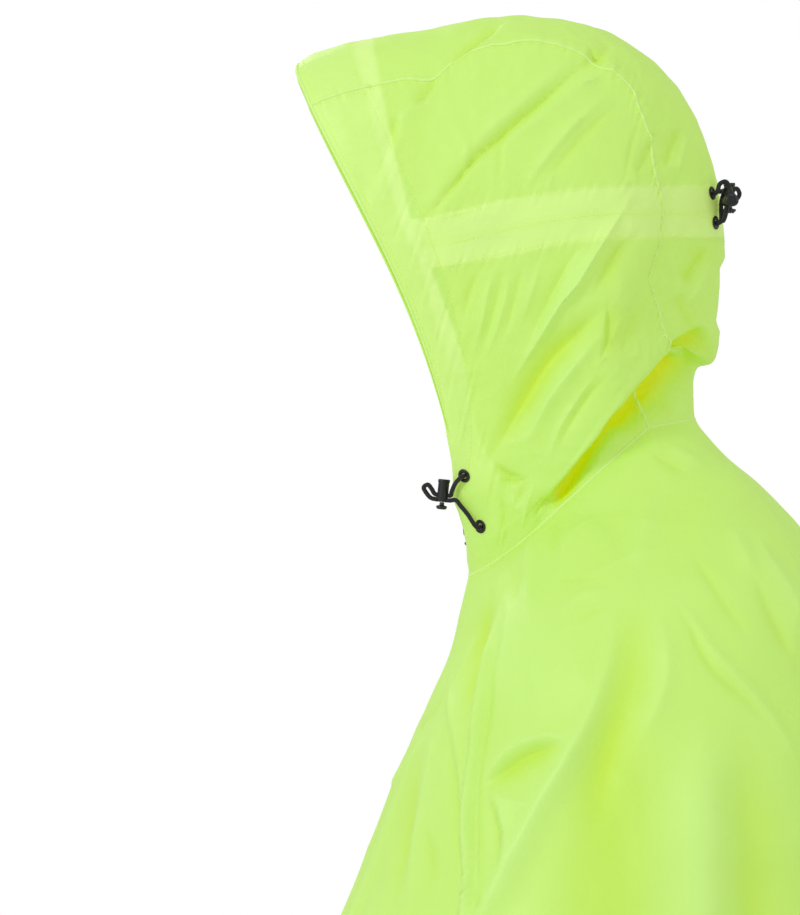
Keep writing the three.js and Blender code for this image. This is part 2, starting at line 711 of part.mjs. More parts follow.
// Cord locks and drawcords.
function lockFrame(lock) {
  const z = vec(...lock.axis).normalize();
  const y = vec(...lock.through);
  y.addScaledVector(z, -y.dot(z)).normalize();
  const frame = new THREE.Matrix4().makeBasis(y.clone().cross(z), y, z);
  return frame.setPosition(...lock.centre);
}

function lockBody(lock) {
  const { radius, top, bottom, tail, shoulder, rim, chamfer, slotWide, slotHigh } = LOCK;
  const barrel = turned([
    [0, bottom], [tail, bottom], [radius, bottom + shoulder], [radius, top - rim],
    [radius - chamfer, top], [0, top],
  ], LOCK_SIDES);
  const slot = new THREE.BoxGeometry(slotWide, radius * 3, slotHigh).translate(0, 0, lock.slot);
  return cutAway(barrel, [slot]).applyMatrix4(lockFrame(lock));
}

function lockButton(lock) {
  const { stem, flat, rim, underRim, neckAt, underAt, rimAt, flatAt, endAt } = BUTTON;
  const [wide, high] = lock.press;
  const start = LOCK.bottom - GAP;
  const button = turned([
    [0, start - endAt], [flat, start - flatAt], [rim, start - rimAt], [underRim, start - underAt],
    [stem, start - neckAt], [stem, start], [0, start],
  ], LOCK_SIDES);
  return button.scale(wide, high, 1).applyMatrix4(lockFrame(lock));
}

// The middle line of a drawcord, eyelet to eyelet, as a list of points.
function cordRoute(lock) {
  const cord = CORDS[lock.set];
  const frame = lockFrame(lock);
  const local = (y, z) => vec(0, y, lock.slot + z).applyMatrix4(frame);
  const seat = (level) => EYELETS.find((eyelet) => eyelet.name === `${lock.set}_${level}`);
  const from = (level, out) => seat(level).point.clone().addScaledVector(seat(level).out, out);
  const start = EYELET.thick + 2 * GAP;
  const strand = (sign) => LOOP.map(
    ({ along, half, rise }) => local(along, half * sign + cord.lift * rise),
  );
  return [
    from('upper', start), from('upper', start + LEAD),
    ...cord.out.map((point) => vec(...point)),
    local(-LOOP[0].along, LOOP[0].half), local(0, LOOP[0].half),
    ...strand(1), local(LOOP_END, cord.lift), ...strand(-1).reverse(),
    local(0, -LOOP[0].half), local(-LOOP[0].along, -LOOP[0].half),
    ...cord.back.map((point) => vec(...point)),
    from('lower', start + LEAD), from('lower', start),
  ];
}

function cordGeometry(route) {
  const path = new THREE.CatmullRomCurve3(route, false, 'centripetal');
  const sides = 8;
  const ring = Array.from({ length: sides }, (_, i) => {
    const angle = (i * 2 * Math.PI) / sides;
    return new THREE.Vector2(Math.cos(angle) * CORD_RADIUS, Math.sin(angle) * CORD_RADIUS);
  });
  const steps = Math.round(path.getLength() / CORD_STEP);
  const along = { steps, bevelEnabled: false, extrudePath: path };
  return new THREE.ExtrudeGeometry(new THREE.Shape(ring), along);
}

function makeHardware() {
  for (const seat of EYELETS) addMesh(`eyelet_${seat.name}`, bareGeometry(eyeletGeometry(seat)), HARDWARE);
  for (const lock of LOCKS) {
    addMesh(`cord_lock_body_${lock.set}`, lockBody(lock), HARDWARE);
    addMesh(`cord_lock_button_${lock.set}`, bareGeometry(lockButton(lock)), HARDWARE);
    addMesh(`drawcord_${lock.set}`, bareGeometry(cordGeometry(cordRoute(lock))), ELASTIC);
  }
}

makeHood();
makeCasings();
makeCape();
makeHardware();

export default part;
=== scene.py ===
"""A hooded rain poncho of thin coated nylon, in the shape it takes when it is worn hood up.

Tables are in millimetres, objects in metres. +Z is up, -Y is the front, +X is the garment's left,
and the origin is the centre of the neck seam.
"""
import math
from collections import namedtuple
from functools import lru_cache

import bmesh
import bpy
import numpy as np
from bpy.props import FloatProperty, FloatVectorProperty, IntProperty, PointerProperty
from mathutils import Matrix, Vector


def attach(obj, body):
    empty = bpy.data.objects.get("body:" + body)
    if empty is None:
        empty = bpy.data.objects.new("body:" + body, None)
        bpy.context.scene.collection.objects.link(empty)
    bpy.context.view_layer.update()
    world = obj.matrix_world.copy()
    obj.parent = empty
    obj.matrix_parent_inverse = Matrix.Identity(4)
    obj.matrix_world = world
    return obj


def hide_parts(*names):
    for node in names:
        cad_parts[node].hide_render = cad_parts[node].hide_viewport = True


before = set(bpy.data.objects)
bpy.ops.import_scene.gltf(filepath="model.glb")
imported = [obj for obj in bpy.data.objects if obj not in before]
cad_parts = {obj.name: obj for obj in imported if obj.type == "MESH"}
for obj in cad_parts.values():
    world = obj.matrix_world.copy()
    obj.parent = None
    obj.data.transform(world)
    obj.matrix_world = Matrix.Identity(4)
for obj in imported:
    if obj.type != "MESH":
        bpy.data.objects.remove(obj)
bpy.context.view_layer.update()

bl_info = {
    "name": "Hooded Rain Poncho",
    "version": (1, 0, 0),
    "blender": (4, 5, 0),
    "location": "3D View > Sidebar > Rain Poncho",
    "description": "Dresses a worn hooded rain poncho with cloth, seams, cords and cord locks",
    "category": "Object",
}

MM = 0.001
BODY = "root"

# Hood: a fan of arches from the face opening to the neck seam.
# Each arch runs from the crown line (apex, x = 0) over the centre panel's seam and down the side
# to the centre front (base, x = 0). bow is how far the side bends towards the nape, bow_at moves
# the deepest point of the bend towards the base.
Arch = namedtuple(
    "Arch", "apex_y apex_z seam_x seam_y seam_z side_x base_y base_z bow bow_at"
)
HOOD_ARCHES = [
    Arch(-216, 330, 57, -206, 295, 84, -95, 18, 12, 1.3),
    Arch(-176, 343, 61, -167, 307, 88, -98, 12, 10, 1.2),
    Arch(-118, 353, 63, -110, 320, 91, -99, 5, 8, 1.1),
    Arch(-49, 362, 65, -47, 342, 94, -97, -3, 6, 1),
    Arch(11, 353, 66, 8, 326, 96, -95, -10, 6, 1),
    Arch(56, 322, 65, 39, 298, 97, -93, -17, 8, 1),
    Arch(87, 277, 64, 51, 258, 96, -91, -23, 10, 1),
    Arch(101, 222, 63, 56, 212, 94, -90, -29, 12, 1.1),
    Arch(104, 172, 62, 51, 168, 93, -89, -34, 14, 1.2),
    Arch(100, 130, 60, 58, 132, 92, -88.5, -39, 12, 1.6),
    Arch(96, 105, 58, 61, 112, 91, -88, -43, 9, 2),
    Arch(83, 99, 50, 47, 109, 78, -88, -46, 9, 2),
    Arch(81, 81, 51, 38, 79, 76, -87.5, -50, 8, 2),
    Arch(82, 61, 55, 45, 54, 81, -87, -56, 4, 2.2),
]
SEAM_T = 0.3  # where the centre panel's seam lies along an arch, 0 to 1
CROWN_ROUND = 2.2  # how flat the crown is before it falls to the seam
CHEEK_SHARE = 0.36  # share of an arch in which it reaches its full width
CHIN_TAPER = 0.38  # share of the half width that is lost before the chin
CHIN_ROUND = 7  # how square an arch turns in to the centre front there
CHIN_CROWD = 2.2  # how closely t crowds towards the centre front
FOLD_FIRST, FOLD_LAST = 9, 13  # the arches of the fold that hangs over the collar
FOLD_FADE = (0.22, 0.42)  # share of the way down the side over which it dies out

FACE_CASING_TOP = 42  # width of the face casing at the peak
FACE_CASING_LOW = 27  # and at the throat
FACE_CASING_END = 0.9  # where it ends along the opening edge
HEAD_CASING_WIDTH = 40
HEAD_CASING_TOP = (60, 214)  # side-view place of its middle where it is highest
HEAD_CASING_DROP = 0.0009  # fall towards the front, per square millimetre

# Cape: closed sections below the neck seam.
Section = namedtuple("Section", "front_y front_z side_z back_y back_z half_x widest_y square")
CAPE_SECTIONS = [
    Section(-94, -84, -17, 104, 35, 122, 6, 0.95),
    Section(-102, -116, -42, 131, 9, 170, 22, 0.92),
    Section(-119, -155, -74, 163, -22, 214, 36, 0.9),
    Section(-141, -207, -132, 197, -66, 246, 34, 0.9),
    Section(-164, -271, -216, 226, -140, 268, 18, 0.9),
    Section(-192, -350, -316, 246, -244, 290, 0, 0.9),
    Section(-226, -462, -440, 257, -384, 314, -6, 0.92),
    Section(-252, -620, -604, 264, -566, 340, -4, 0.94),
    Section(-270, -800, -788, 271, -770, 362, 0, 0.96),
    Section(-284, -990, -970, 280, -980, 384, 0, 0.98),
]

# Large folds of the cape's right side, along side-view lines of (y, z).
Fold = namedtuple("Fold", "width height line")
RIGHT_FOLDS = [
    Fold(17, 9, [(-42, -20), (-70, -86), (-86, -190), (-96, -360), (-100, -640)]),
    Fold(22, 12, [(42, -90), (14, -140), (-24, -215), (-66, -290), (-96, -420)]),
    Fold(24, -11, [(36, -104), (18, -190), (-16, -300), (-34, -520), (-40, -820)]),
    Fold(32, 13, [(66, -180), (78, -330), (84, -600), (82, -880)]),
    Fold(10, -5, [(50, -86), (92, -116), (118, -168)]),
    Fold(28, -12, [(112, -220), (128, -400), (142, -640), (140, -900)]),
]
FOLD_ENDS = 0.18  # share of a fold's length over which it fades at each end
FOLD_CLEAR_X = (20, 70)  # it rises from nothing between these distances from the middle

# Flutes that open towards the hem: direction and half width in degrees, depth, where they start.
Flute = namedtuple("Flute", "at half depth start")
HEM_FLUTES = [
    Flute(8, 9, 20, 0.42), Flute(31, 8, -15, 0.5), Flute(52, 9, 17, 0.55),
    Flute(79, 8, -14, 0.6), Flute(101, 9, 16, 0.55), Flute(128, 9, -16, 0.45),
    Flute(150, 8, 20, 0.4), Flute(171, 8, -14, 0.45), Flute(190, 9, 18, 0.38),
    Flute(214, 9, -17, 0.46), Flute(238, 8, 17, 0.52), Flute(263, 9, -13, 0.58),
    Flute(288, 9, 17, 0.5), Flute(312, 8, -15, 0.5), Flute(337, 9, 16, 0.45),
]

# Creases of the cloth.
# A crease follows a line plotted on a side view with a grid of 0.75 mm squares, whose origin is
# PLOT_ORIGIN. height is over 0 for a ridge and under 0 for a trough, in mm. left and right are
# its half widths in mm, on the left and right of the line as it is walked. power is 2 for a soft
# bell and 1 for a crisp edge.
PLOT_STEP = 0.75
PLOT_ORIGIN = (585, 500)
EYE_DISTANCE = 4000  # the side view is seen from here, level with the middle of the garment
EYE_LEVEL = (-139, 32)
# The pale strip of doubled cloth at the back of the face casing lies between these two lines, and
# the head casing between the next two, all on the side view's grid.
STRIP_FRONT = [(353, 46), (372, 120), (400, 223), (420, 263), (433, 313), (450, 367), (458, 413),
               (474, 456), (490, 478)]
STRIP_BACK = [(373, 46), (387, 120), (410, 217), (430, 267), (450, 320), (463, 357), (471, 393),
              (473, 420), (484, 448), (500, 477)]
HEAD_CASING_UPPER = [(420, 219), (500, 200), (573, 188), (620, 185), (693, 185)]
HEAD_CASING_LOWER = [(430, 268), (500, 257), (567, 243), (613, 239), (700, 237)]
# The seam between the hood's centre panel and its side, on the same grid.
CROWN_SEAM = [(308, 107), (330, 98), (364, 88), (401, 79), (424, 80), (436, 77), (446, 67),
              (459, 57), (475, 50), (497, 45), (521, 41), (554, 43), (574, 51), (586, 55),
              (594, 65), (606, 69), (621, 77), (632, 89), (636, 101), (646, 124), (652, 145),
              (655, 177), (661, 206), (661, 231), (655, 254), (648, 273), (652, 292),
              (658, 310), (666, 338)]
SEAM_SWAY = 0.07  # how far the seam may leave its place along an arch
Crease = namedtuple("Crease", "height left right power line")
HOOD_CREASES = [
    # the long pull line from the crown seam down to the face casing, and what lies along it
    Crease(-4.4, 3.4, 3.0, 1.15, [(604, 44), (592, 56), (575, 70), (562, 82), (540, 102),
                                 (515, 122), (495, 140), (475, 157), (457, 180), (440, 200),
                                 (424, 220), (410, 240)]),
    Crease(1.8, 3.5, 9, 1.5, [(584, 53), (560, 71), (536, 91), (508, 115), (484, 136),
                              (460, 160)]),
    Crease(1.4, 8, 3, 1.5, [(604, 64), (584, 80), (556, 102), (530, 124), (508, 144)]),
    Crease(2.6, 2.6, 7, 1.2, [(613, 91), (590, 112), (570, 131), (550, 155), (535, 175),
                              (521, 197)]),
    Crease(-1.8, 7, 3, 1.4, [(622, 98), (598, 120), (578, 140), (558, 164), (542, 187)]),
    Crease(-4.0, 3, 9, 1.2, [(512, 18), (490, 32), (470, 46), (454, 60), (441, 74)]),
    Crease(2.6, 7, 3, 1.3, [(498, 20), (474, 34), (456, 49), (440, 64)]),
    Crease(-3.2, 3, 5, 1.3, [(442, 74), (432, 86), (421, 99), (409, 108)]),
    Crease(-2.6, 3.5, 7, 1.3, [(404, 112), (396, 122), (392, 134), (386, 148), (380, 160)]),
    Crease(1.8, 5, 3, 1.4, [(446, 70), (424, 100), (408, 112), (400, 124), (394, 144)]),
    Crease(1.4, 3, 3.5, 1.3, [(530, 74), (510, 90), (490, 104), (465, 123)]),
    Crease(-3.2, 3.4, 3, 1.1, [(587, 45), (596, 58), (605, 70)]),
    Crease(-2.4, 5, 4, 1.4, [(613, 43), (601, 55), (590, 63), (576, 69)]),
    Crease(1.8, 3, 3, 1.3, [(604, 74), (588, 83), (571, 91)]),
    Crease(-0.9, 3, 3, 1.3, [(503, 118), (500, 150), (498, 192)]),
    Crease(0.9, 3, 3, 1.3, [(470, 128), (466, 160), (463, 194)]),
    Crease(-1.0, 3, 3, 1.3, [(641, 118), (631, 150), (624, 184)]),
    Crease(0.9, 3, 3, 1.3, [(556, 168), (550, 182), (546, 196)]),
    # head casing downwards
    Crease(1.5, 3, 3.4, 1.3, [(497, 261), (488, 292), (482, 322), (469, 366)]),
    Crease(-1.2, 3, 3.4, 1.3, [(505, 261), (496, 300), (486, 336), (476, 367)]),
    Crease(1.5, 3, 3.4, 1.3, [(513, 261), (505, 300), (494, 336), (482, 366)]),
    Crease(-1.2, 3, 3, 1.3, [(524, 260), (514, 300), (502, 342)]),
    Crease(1.2, 3, 3, 1.3, [(542, 258), (532, 292), (520, 326)]),
    Crease(-1.4, 4, 4, 1.4, [(482, 264), (470, 290), (463, 320)]),
    Crease(-2.4, 4, 6, 1.4, [(586, 238), (566, 266), (550, 298), (538, 322), (525, 352)]),
    Crease(5.6, 4, 7, 1.2, [(632, 192), (621, 212), (610, 230), (595, 255), (577, 285),
                            (560, 306), (540, 338), (523, 364), (508, 388)]),
    Crease(-2.8, 8, 4, 1.4, [(636, 230), (616, 252), (604, 274), (591, 298)]),
    Crease(-6.0, 11, 12, 1.5, [(616, 294), (604, 308), (588, 322), (575, 335), (550, 360),
                               (530, 390), (515, 415), (500, 440), (488, 461), (480, 476)]),
    Crease(3.4, 8, 6, 1.4, [(608, 328), (590, 348), (570, 371), (550, 397), (534, 428),
                            (519, 454)]),
    Crease(-3.2, 12, 2.4, 1.2, [(606, 297), (608, 318), (606, 342), (599, 364)]),
    Crease(1.6, 4, 4, 1.4, [(600, 370), (580, 396), (560, 428), (547, 464)]),
    Crease(-1.8, 5, 5, 1.4, [(614, 370), (590, 394), (570, 424), (555, 454)]),
    Crease(-1.4, 4, 4, 1.4, [(648, 298), (634, 324), (622, 354)]),
    # the corner of the opening
    Crease(-2.8, 3, 6, 1.2, [(493, 461), (508, 474), (525, 477)]),
    Crease(-2.0, 3, 4, 1.2, [(496, 479), (514, 481), (531, 476)]),
    Crease(1.8, 5, 5, 1.5, [(510, 494), (520, 516)]),
    Crease(-1.8, 3, 3, 1.3, [(499, 490), (503, 512), (499, 538)]),
    Crease(1.5, 3, 3, 1.3, [(537, 479), (528, 502), (521, 532)]),
    Crease(-1.6, 3, 3.4, 1.3, [(529, 477), (518, 498), (511, 526)]),
    Crease(-2.4, 3, 6, 1.2, [(556, 496), (544, 505), (532, 520)]),
]
HOOD_BACK_CREASES = [
    Crease(-2.4, 3, 5, 1.3, [(681, 126), (672, 148), (665, 170)]),
    Crease(1.6, 3, 3, 1.3, [(689, 130), (683, 150), (677, 174)]),
    Crease(-2.0, 3, 3, 1.3, [(653, 138), (645, 158), (635, 178)]),
    Crease(-3.4, 4, 6, 1.2, [(709, 246), (697, 264), (683, 286)]),
    Crease(2.2, 4, 4, 1.4, [(713, 260), (702, 282), (689, 306)]),
    Crease(-2.0, 5, 5, 1.4, [(675, 290), (686, 314), (697, 332)]),
    Crease(1.4, 4, 4, 1.4, [(663, 250), (674, 274), (681, 302)]),
    # the pocket where the fold turns under at the back; its depth also paints the shade in it
    Crease(-8.5, 3, 17, 1.5, [(668, 350), (678, 344), (690, 337), (708, 327)]),
]
# Where the hood is flatter at the back.
CROWN_FLATS = [
    Crease(-4.4, 26, 26, 2, [(612, 30), (640, 50), (668, 84), (692, 122), (708, 152)]),
    Crease(-3.4, 16, 16, 2, [(724, 256), (724, 280), (722, 310), (718, 334)]),
]
# Creases of the collar below the fold that hangs over it: shallow in the cloth, they mostly paint
# the shade under that fold.
COLLAR_SHADE_CREASES = [
    Crease(-13, 7, 9, 1.6, [(716, 318), (690, 334), (668, 352), (640, 388), (606, 424),
                            (582, 458), (562, 492), (548, 514)]),
    Crease(-6, 15, 13, 1.8, [(728, 322), (700, 344), (672, 368), (640, 398), (606, 430)]),
    Crease(1.4, 4, 4, 1.4, [(672, 380), (678, 396), (684, 414)]),
    Crease(-1.4, 4, 4, 1.4, [(654, 392), (662, 404), (670, 416)]),
]

# Large folds of the cape's left side.
LEFT_FOLDS = [
    # the front's thin ridge on its broad swell, and the sharp valley behind it
    Crease(4.5, 34, 8, 1.8, [(520, 570), (512, 630), (504, 690), (498, 740)]),
    Crease(8, 5, 3.4, 1.2, [(514, 560), (511, 585), (498, 622), (486, 677), (477, 727), (475, 760),
                           (469, 827), (467, 868), (464, 920), (458, 1040)]),
    Crease(-4, 3, 8, 1.3, [(516, 600), (504, 640), (492, 690), (484, 740), (481, 780),
                           (478, 830), (478, 880), (482, 960)]),
    # the long slanting ridge, the valley behind it and the broad fold at the side
    Crease(8, 9, 9, 1.5, [(612, 588), (613, 620), (611, 650), (596, 702), (571, 756), (540, 810),
                          (511, 868), (484, 914), (462, 960), (450, 1060)]),
    Crease(-4.6, 17, 20, 2, [(646, 570), (638, 610), (634, 640), (628, 680), (616, 720),
                             (604, 760), (596, 800), (592, 850)]),
    Crease(-4.4, 34, 34, 2.6, [(622, 660), (616, 760), (610, 860), (604, 960), (598, 1080)]),
    Crease(7, 22, 20, 1.8, [(690, 690), (700, 750), (701, 830), (702, 915), (706, 1080)]),
    Crease(-4.5, 24, 22, 2, [(732, 700), (746, 770), (752, 840), (756, 915), (762, 1080)]),
    Crease(2.5, 7, 6, 1.4, [(655, 606), (667, 650), (664, 690), (642, 742)]),
]
# Small creases of both sides of the cape.
CAPE_CREASES = [
    # shoulder and back
    Crease(2.4, 5, 7, 1.3, [(650, 590), (684, 608), (714, 650), (744, 684), (772, 720),
                            (790, 752), (806, 790)]),
    Crease(-2.2, 7, 4, 1.4, [(662, 592), (686, 620), (712, 668), (748, 704), (780, 742)]),
    Crease(-1.4, 5, 6, 1.6, [(688, 544), (708, 576), (732, 612), (756, 648)]),
    Crease(1.8, 7, 8, 1.6, [(728, 520), (742, 548), (754, 580)]),
    Crease(3.4, 8, 12, 1.5, [(752, 520), (769, 560), (786, 592), (800, 622), (816, 668)]),
    Crease(-1.8, 6, 6, 1.6, [(748, 566), (764, 600), (784, 640), (800, 676)]),
    Crease(2.0, 13, 13, 1.8, [(652, 484), (640, 540), (636, 588)]),
    Crease(-1.6, 4, 5, 1.4, [(645, 449), (667, 462), (692, 474)]),
    Crease(-1.6, 4, 5, 1.4, [(698, 432), (720, 452), (744, 472)]),
    Crease(1.4, 6, 5, 1.6, [(660, 440), (684, 456), (712, 472)]),
    # pleats below the neck seam
    Crease(2.2, 5, 5, 1.5, [(540, 514), (528, 560), (532, 600), (528, 648)]),
    Crease(-1.6, 4, 5, 1.5, [(522, 560), (518, 588), (515, 616)]),
    Crease(-1.4, 5, 4, 1.5, [(562, 506), (556, 530), (548, 562)]),
    # front edge
    Crease(-5.0, 9, 8, 1.7, [(496, 572), (488, 610), (478, 650), (468, 700), (462, 740)]),
    Crease(2.2, 4, 3, 1.3, [(452, 650), (450, 706), (456, 744), (461, 777), (465, 822),
                            (467, 868)]),
    Crease(-2.2, 3, 4, 1.3, [(446, 700), (450, 740), (458, 789), (464, 868), (484, 914),
                             (498, 960)]),
    Crease(-3.2, 7, 8, 1.7, [(424, 736), (415, 770), (406, 820), (401, 866), (394, 920)]),
    Crease(2.4, 6, 6, 1.5, [(442, 692), (430, 750), (422, 800), (414, 860), (404, 930)]),
    Crease(-1.8, 4, 4, 1.5, [(425, 820), (431, 862), (432, 892)]),
    # crumples over the bend of the cloth in front of the slanting ridge
    Crease(1.6, 5, 6, 1.5, [(556, 616), (580, 597), (614, 588)]),
    Crease(-0.9, 4, 5, 1.5, [(566, 630), (588, 612), (612, 606)]),
    Crease(1.2, 4, 4, 1.4, [(532, 640), (533, 676), (541, 700), (556, 716)]),
    Crease(-1.0, 4, 4, 1.4, [(528, 640), (530, 672), (536, 704)]),
    Crease(-0.9, 4, 4, 1.6, [(546, 580), (576, 578), (606, 578)]),
    # the hook below them: a shaded facet under a thin edge, and a lit tip in front of it
    Crease(3.0, 6, 3, 1.2, [(474, 800), (484, 786), (504, 760), (523, 745), (550, 737),
                            (580, 736)]),
    Crease(-5.0, 3, 15, 1.4, [(482, 796), (500, 774), (522, 756), (546, 747), (574, 744)]),
    Crease(3.6, 9, 3, 1.2, [(492, 786), (497, 798), (505, 830), (508, 858), (507, 886)]),
    Crease(2.4, 4, 9, 1.4, [(486, 790), (500, 796), (520, 803), (540, 806)]),
    Crease(-2.4, 3, 5, 1.3, [(487, 788), (496, 812), (500, 844), (500, 876)]),
]
# Creases on the back, plotted on a back view in mm: (x, z).
CAPE_BACK_CREASES = [
    Crease(5.0, 14, 18, 1.7, [(-40, 30), (-92, -70), (-130, -220), (-146, -420), (-150, -760)]),
    Crease(-5.0, 14, 14, 1.7, [(-10, 24), (-44, -96), (-60, -260), (-70, -520), (-66, -860)]),
    Crease(5.5, 18, 14, 1.7, [(24, 20), (30, -110), (44, -300), (40, -560), (52, -900)]),
    Crease(-5.0, 16, 14, 1.7, [(52, 22), (94, -80), (110, -240), (122, -480), (118, -840)]),
    Crease(4.0, 12, 14, 1.7, [(90, 10), (150, -90), (186, -230), (200, -460)]),
    Crease(-2.6, 8, 8, 1.6, [(-150, -40), (-110, -92), (-48, -120), (10, -112)]),
    Crease(2.8, 8, 10, 1.6, [(-132, -84), (-80, -132), (-6, -150), (70, -128)]),
    Crease(-2.2, 7, 7, 1.6, [(150, -60), (112, -120), (62, -152), (18, -160)]),
]
# Creases on the front, plotted on a front view in mm: (x, z).
CAPE_FRONT_CREASES = [
    Crease(4.5, 13, 16, 1.7, [(30, -96), (62, -180), (84, -320), (92, -560), (96, -860)]),
    Crease(-4.5, 13, 13, 1.7, [(6, -90), (18, -200), (22, -380), (30, -640), (26, -900)]),
    Crease(4.5, 15, 13, 1.7, [(-26, -96), (-40, -190), (-48, -360), (-60, -620), (-56, -880)]),
    Crease(-4.0, 13, 13, 1.7, [(-60, -110), (-92, -210), (-112, -380), (-120, -640)]),
    Crease(-2.2, 7, 7, 1.6, [(110, -120), (64, -156), (8, -170), (-48, -156)]),
    Crease(2.4, 8, 8, 1.6, [(104, -160), (58, -196), (0, -210), (-60, -190)]),
]
CREASE_ENDS = 0.4  # share of a crease's length over which it fades at each end
# The two pale bands of the head casing on either side of its cord, as shares of its width.
CASING_BANDS = [(0, 0.44), (0.62, 1)]

# The cape's grid: columns on each side, and the share of the rows in its upper half.
LEFT_COLUMNS, RIGHT_COLUMNS = 275, 140
UPPER_ROWS = 0.74

# Sewing.
SEAM_WIDTH, SEAM_HEIGHT = 2.4, 0.7  # a felled seam's ridge
ROLL_WIDTH, ROLL_HEIGHT = 2.2, 0.6  # the rolled edge of the opening and of the hem
HEM_WIDTH = 20
PANEL_WALL = 1.2  # how far the casings and the turned hem lie inside the cloth's outer face
THREAD_RADIUS = 0.22
PEAK_ROUND = 4.5  # how far the corner of the peak is drawn in
PEAK_SWELL = 3.2  # and how far its edge swells below the corner
PEAK_REACH = 16  # how far round the corner this goes on
PEAK_DROP = 12  # how far below the corner the swell is widest
FOLD_TONE = 5.5  # height in mm at which a fold gets its full painted shade in a trough and painted highlight on a ridge

# Hardware.
Seat = namedtuple("Seat", "point out")
SEATS_LEFT = {
    "throat_upper": Seat((59.99, -91.5, 18.5), (0.771, -0.5712, -0.2818)),
    "throat_lower": Seat((57.53, -79.5, -19.0), (0.742, -0.6539, -0.1476)),
    "nape_upper": Seat((25.86, 93.44, 229.0), (0.4725, 0.8712, 0.1333)),
    "nape_lower": Seat((25.7, 96.08, 207.0), (0.5001, 0.8642, 0.0542)),
}
EYELET_FLANGE, EYELET_THICK, EYELET_BARREL, EYELET_BORE, EYELET_DEPTH = 5.3, 0.9, 3.1, 2.3, 2.6
GAP = 0.3
CORD_RADIUS = 1.7
LOCK_RADIUS, LOCK_TOP, LOCK_BOTTOM, LOCK_TAIL = 4.1, 8.4, -8.4, 3.2
SLOT_WIDE, SLOT_HIGH = 4.2, 7.8
# press is how much wider than the barrel the button is, both ways.
Lock = namedtuple("Lock", "seats side centre axis through slot press out back lift")
LOCKS = {
    "throat_left": Lock("throat", 1, (47, -107, 7.5), (0, 0.1, 1), (-0.3, -1, 0.1), -5, (1, 1),
                        [(58.5, -98, 13), (52, -100.8, 6.5)],
                        [(51, -98, 0.5), (56, -94, -4), (59, -89, -10)], 6),
    "throat_right": Lock("throat", -1, (-70, -87, -21), (0, -0.1, 1), (-1, -0.1, 0), 1, (1, 1),
                         [(-64, -94.5, 6), (-66, -91.5, -6), (-63.6, -88.3, -14)],
                         [(-62.3, -84.8, -21.8)], 0),
    "nape_left": Lock("nape", 1, (30, 106, 223), (-1, -0.1, 0), (0, -0.26, -0.97), 3, (1.3, 1.15),
                      [(26.5, 99.5, 236), (26, 104, 237.5)],
                      [(21.5, 106, 233.5), (18.8, 103, 230), (18.6, 101, 223), (21, 100.6, 217)],
                      0),
    "nape_right": Lock("nape", -1, (-16, 109, 230.5), (0.05, 0, 1), (0.9, 0.45, 0), 1, (1.3, 1.15),
                       [(-27.5, 101, 232), (-25.5, 104.5, 233.3)],
                       [(-25.5, 104.5, 226.5), (-28, 102.5, 219), (-28.3, 101, 212.5)], -1),
}
# Half of a cord's loop: places along the cord's direction, half height, share of the lift.
LOOP = [(6, 1.85, 0), (9, 3.3, 0.35), (12.2, 3.4, 0.8)]
LOOP_END = 15.2
LEAD = 2.5  # length of cord that stands straight out of an eyelet
CORD_INSIDE = 2.2  # and that lies inside it


# The camera looks level along -X, in metres; its film is 36 mm wide.
CAMERA_PLACE = (4.0, -0.139, 0.032)
CAMERA_LENS = 209.8
# Soft lamps: place, what they are aimed at, size in metres and watts.
LAMPS = [
    ("Key", (2.6, -2.9, 1.5), (0, 0, 0), 0.9, 58),
    ("Top", (0.6, 0.6, 2.8), (0, 0, 0), 1.6, 6),
    ("Side", (2.6, 2.8, 0.9), (0, 0, 0), 1.6, 14),
    ("Far", (-2.8, -1.2, 1.6), (0, 0, -0.2), 1.2, 16),
]


def linear(hex_colour):
    """An sRGB hex colour as linear red, green, blue and alpha."""
    parts = [int(hex_colour[i : i + 2], 16) / 255 for i in (0, 2, 4)]
    return [c / 12.92 if c <= 0.04045 else ((c + 0.055) / 1.055) ** 2.4 for c in parts] + [1]


class PonchoSettings(bpy.types.PropertyGroup):
    """Sizes and colours of the cloth and its trim."""

    cloth_colour: FloatVectorProperty(
        name="Cloth colour", description="Fluorescent dye of the cloth", subtype="COLOR",
        default=linear("C4EC89")[:3], min=0.0, max=1.0,
    )
    trim_colour: FloatVectorProperty(
        name="Trim colour", description="Colour of the eyelets and the cord locks",
        subtype="COLOR", default=linear("101113")[:3], min=0.0, max=1.0,
    )
    crease_strength: FloatProperty(
        name="Crease strength",
        description="How strongly the small creases stand out of the cloth, 1 is as plotted",
        default=1.25, min=0.0, max=2.0,
    )
    crease_width: FloatProperty(
        name="Crease width",
        description="How wide the small creases are, 1 is as plotted",
        default=0.85, min=0.4, max=1.5,
    )
    stitch_length: FloatProperty(
        name="Stitch length",
        description="Length of one stitch with its gap",
        default=3.2 * MM, min=1.5 * MM, max=8 * MM, unit="LENGTH",
    )
    hood_rows: IntProperty(
        name="Hood rows", description="Rows of faces from the face opening to the neck seam",
        default=340, min=60, max=360,
    )
    hood_columns: IntProperty(
        name="Hood columns", description="Columns of faces down one side of the hood",
        default=240, min=40, max=260,
    )
    cape_rows: IntProperty(
        name="Cape rows", description="Rows of faces from the neck seam to the hem",
        default=240, min=60, max=240,
    )


class StageSettings(bpy.types.PropertyGroup):
    """The plain studio round the garment."""

    floor_z: FloatProperty(
        name="Floor height",
        description="Height of the floor, below the neck seam",
        default=-1.44, max=-1.0, unit="LENGTH",
    )
    backdrop: FloatProperty(
        name="Backdrop", description="Brightness of the studio's white surroundings",
        default=1.0, min=0.0, max=4.0,
    )
    fill: FloatProperty(
        name="Fill", description="Light that the surroundings give from all sides",
        default=0.68, min=0.0, max=2.0,
    )
    light: FloatProperty(
        name="Light", description="Strength of the soft lamps, 1 is as set up",
        default=1.0, min=0.0, max=4.0,
    )


